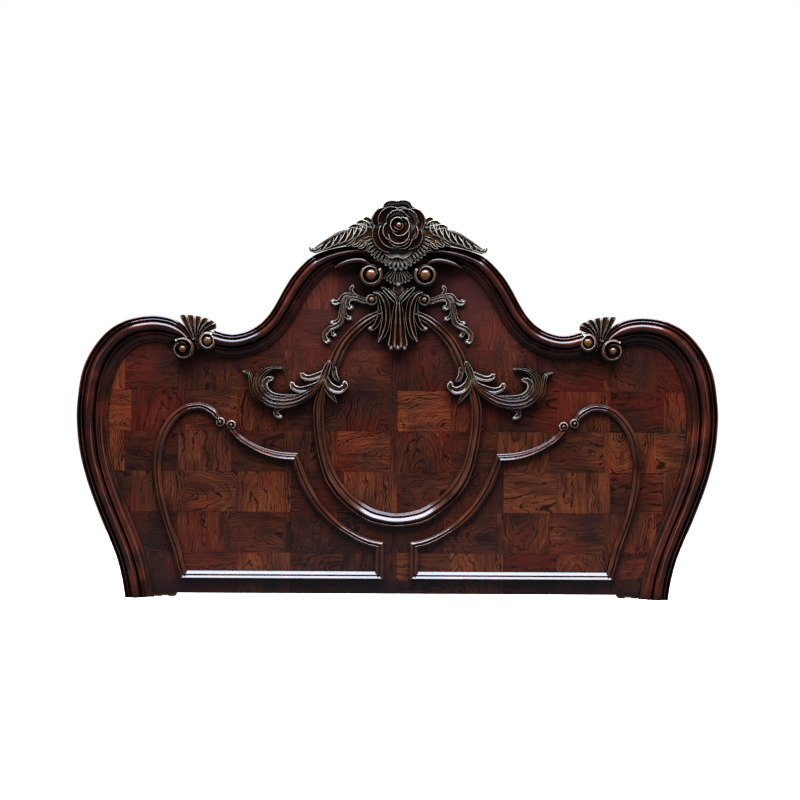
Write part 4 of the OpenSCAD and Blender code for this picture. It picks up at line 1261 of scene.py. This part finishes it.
def parquet_finish():
    material, node, shader = new_finish("oak_parquet_under_red_brown_lacquer")
    place = node("SeparateXYZ", node("TexCoord", out="Object"), out=None).outputs
    x, z = place["X"], place["Z"]
    along, across, chance, joint = veneer_block(node, x, z)
    luck = chance.outputs["Value"]
    spot = node("CombineXYZ", along, across, node("MULTIPLY", luck, 5.0))
    rings = growth_rings(node, along, across, chance, spot)
    # Pores 2 mm wide and 70 mm long
    stretched = node("Mapping", {"Vector": spot, "Scale": (14.0, 420.0, 3.0)})
    pores = node("TexNoise", {"Vector": stretched, "Scale": 1.0, "Detail": 4.0, "Roughness": 0.6})
    cloud = node("TexNoise", {"Vector": spot, "Scale": 9.0, "Detail": 3.0})
    haze = node("TexNoise", {"Vector": node("CombineXYZ", {"X": x, "Z": z}), "Scale": 4.5,
                             "Detail": 4.0, "Roughness": 0.6})
    tone = node("ADD", node("MULTIPLY", cloud, 0.6), node("MULTIPLY_ADD", luck, 0.28, 0.04))
    tone = node("ADD", tone, node("MULTIPLY", node("SUBTRACT", pores, 0.5), 0.45))
    ground = node("ValToRGB", tone, stops=(
        (0.33, "120806"), (0.43, "30170e"), (0.53, "622f1a"), (0.64, "944a26"), (0.84, "c27036")))
    tint = node("ValToRGB", haze, stops=((0.36, "441e24"), (0.48, "5c3020"), (0.6, "862c1c")))
    # Smoky streaks, which leave some parts of a block nearly black
    streaked = node("Mapping", {"Vector": spot, "Location": (3.0, 1.0, 2.0), "Scale": (9.0, 55.0, 6.0)})
    smoke = node("TexNoise", {"Vector": streaked, "Scale": 1.0, "Detail": 3.0, "Roughness": 0.6})
    lines = node("MULTIPLY", rings, node("MULTIPLY_ADD", cloud, 3.6, -0.55), use_clamp=True)
    # Nearly black behind the cartouche: a painted shadow under the crest's carvings
    over = node("POWER", node("SUBTRACT", z, CREST_HEIGHT), 2.0)
    from_crest = node("SQRT", node("ADD", node("MULTIPLY", x, x), over))
    # Painted shade along the mouldings and carvings, darkest in their corners
    painted_edge_shade = node("MAXIMUM", painted_corner_shade(node, 0.045), painted_corner_shade(node, 0.013))
    colour = coated(
        node, ground,
        (0.4, tint),
        (node("MapRange", smoke, 0.5, 0.34, 0.0, 0.5), SMOKE),
        (node("MULTIPLY", lines, 0.92), RING_LINE),
        (node("MULTIPLY", joint, 0.6), JOINT_LINE),
        (node("MapRange", z, 0.62, 0.86, 0.0, 0.5), CROWN_SHADE),
        (node("MapRange", z, 0.066, 0.05, 0.0, 0.6), FOOT_SHADE),
        (node("MapRange", from_crest, 0.19, 0.1, 0.0, 0.9), CREST_SHADE),
        (node("MULTIPLY", painted_edge_shade, PAINTED_SHADE_SHARE), PAINTED_SHADE_COLOUR))
    relief = node("ADD", node("MULTIPLY", rings, -0.6), pores)
    feed(shader, {
        "Base Color": colour, "Roughness": node("MapRange", pores, 0.0, 1.0, 0.12, 0.26),
        "Normal": node("Bump", {"Height": relief, "Strength": 0.22, "Distance": 0.0005}),
        "IOR": LACQUER_IOR, "Coat Weight": 0.1, "Coat Roughness": COAT_ROUGHNESS})
    return material


dress("parquet_veneer", parquet_finish())
print("parquet blocks", BLOCK_W / MM, "by", BLOCK_H / MM, "mm")

# %% [markdown]
# ## Light, floor and camera
# A big soft box hangs overhead, a little in front, so upward faces and wet-looking lacquer catch a
# bluish white streak and the undersides go black. A second one lights the back, and two weak ones
# the sides. The camera stands far back with a long lens, nearly square on.

# %% Studio lights
def soft_box(name, place, aim, size, power, colour="ffffff"):
    """A rectangular lamp that shines from its place towards its aim."""
    lamp = bpy.data.lights.new(name, "AREA")
    lamp.shape = "RECTANGLE"
    lamp.size, lamp.size_y = size
    lamp.energy = power
    lamp.color = srgb(colour)[:3]
    thing = placed(name, lamp)
    thing.location = place
    thing.rotation_euler = (Vector(aim) - Vector(place)).to_track_quat("-Z", "Y").to_euler()


soft_box("overhead soft box", (0.0, -0.6, 3.2), (0.0, -0.4, 0.0), (3.8, 3.4), 640, "dce9ff")
soft_box("rear soft box", (0.0, 2.2, 3.0), (0.0, 1.4, 0.0), (5.0, 1.6), 190)
for name, x in (("left soft box", -3.0), ("right soft box", 3.0)):
    soft_box(name, (x, -2.6, 1.6), (0.0, 0.0, 0.6), (1.0, 2.0), 12)

# %% Backdrop: white to the eye, and dim as a light
WHITE = (1, 1, 1, 1)
world = bpy.data.worlds.new("white studio")
bpy.context.scene.world = world
world.use_nodes = True
world.node_tree.nodes.clear()
sky = partial(add, world.node_tree)
strength = sky("MapRange", sky("LightPath", out="Is Camera Ray"), 0.0, 1.0, 0.04, 1.0)
backing = sky("Background", {"Color": WHITE, "Strength": strength})
sky("OutputWorld", {"Surface": backing}, out=None)

# %% Floor
floor_mesh = bpy.data.meshes.new("studio floor")
floor_mesh.from_pydata([(-5, -5, 0), (5, -5, 0), (5, 3, 0), (-5, 3, 0)], [], [(0, 1, 2, 3)])
floor = placed("studio_floor", floor_mesh)
pale, node, pale_shader = new_finish("white_studio_floor")
speck = node("TexNoise", {"Scale": 40.0})
paint = node("ValToRGB", speck, stops=((0.3, "f6f6f6"), (0.7, "fdfdfd")))
direct = node("LightPath", out="Is Camera Ray")
# The floor throws little light back up, so the undersides of the carvings stay dark. It is lit as
# evenly as the backdrop, so no edge of it shows.
feed(pale_shader, {"Base Color": coated(node, srgb("303030"), (direct, paint)), "Roughness": 0.9,
                   "Emission Strength": direct, "Emission Color": WHITE})
floor_mesh.materials.append(pale)

# %% Camera
eye = bpy.data.cameras.new("camera")
eye.lens, eye.sensor_width = 90, 36
camera = placed("camera", eye)
camera.location = (0.0075, -6, 0.5955)
camera.rotation_euler = (math.pi / 2, math.radians(-0.3), 0)
bpy.context.scene.camera = camera
bpy.context.scene.view_settings.view_transform = "Standard"

# %% Put the cutters away and end
for cutter in CUTTERS:
    bpy.data.objects.remove(cutter)
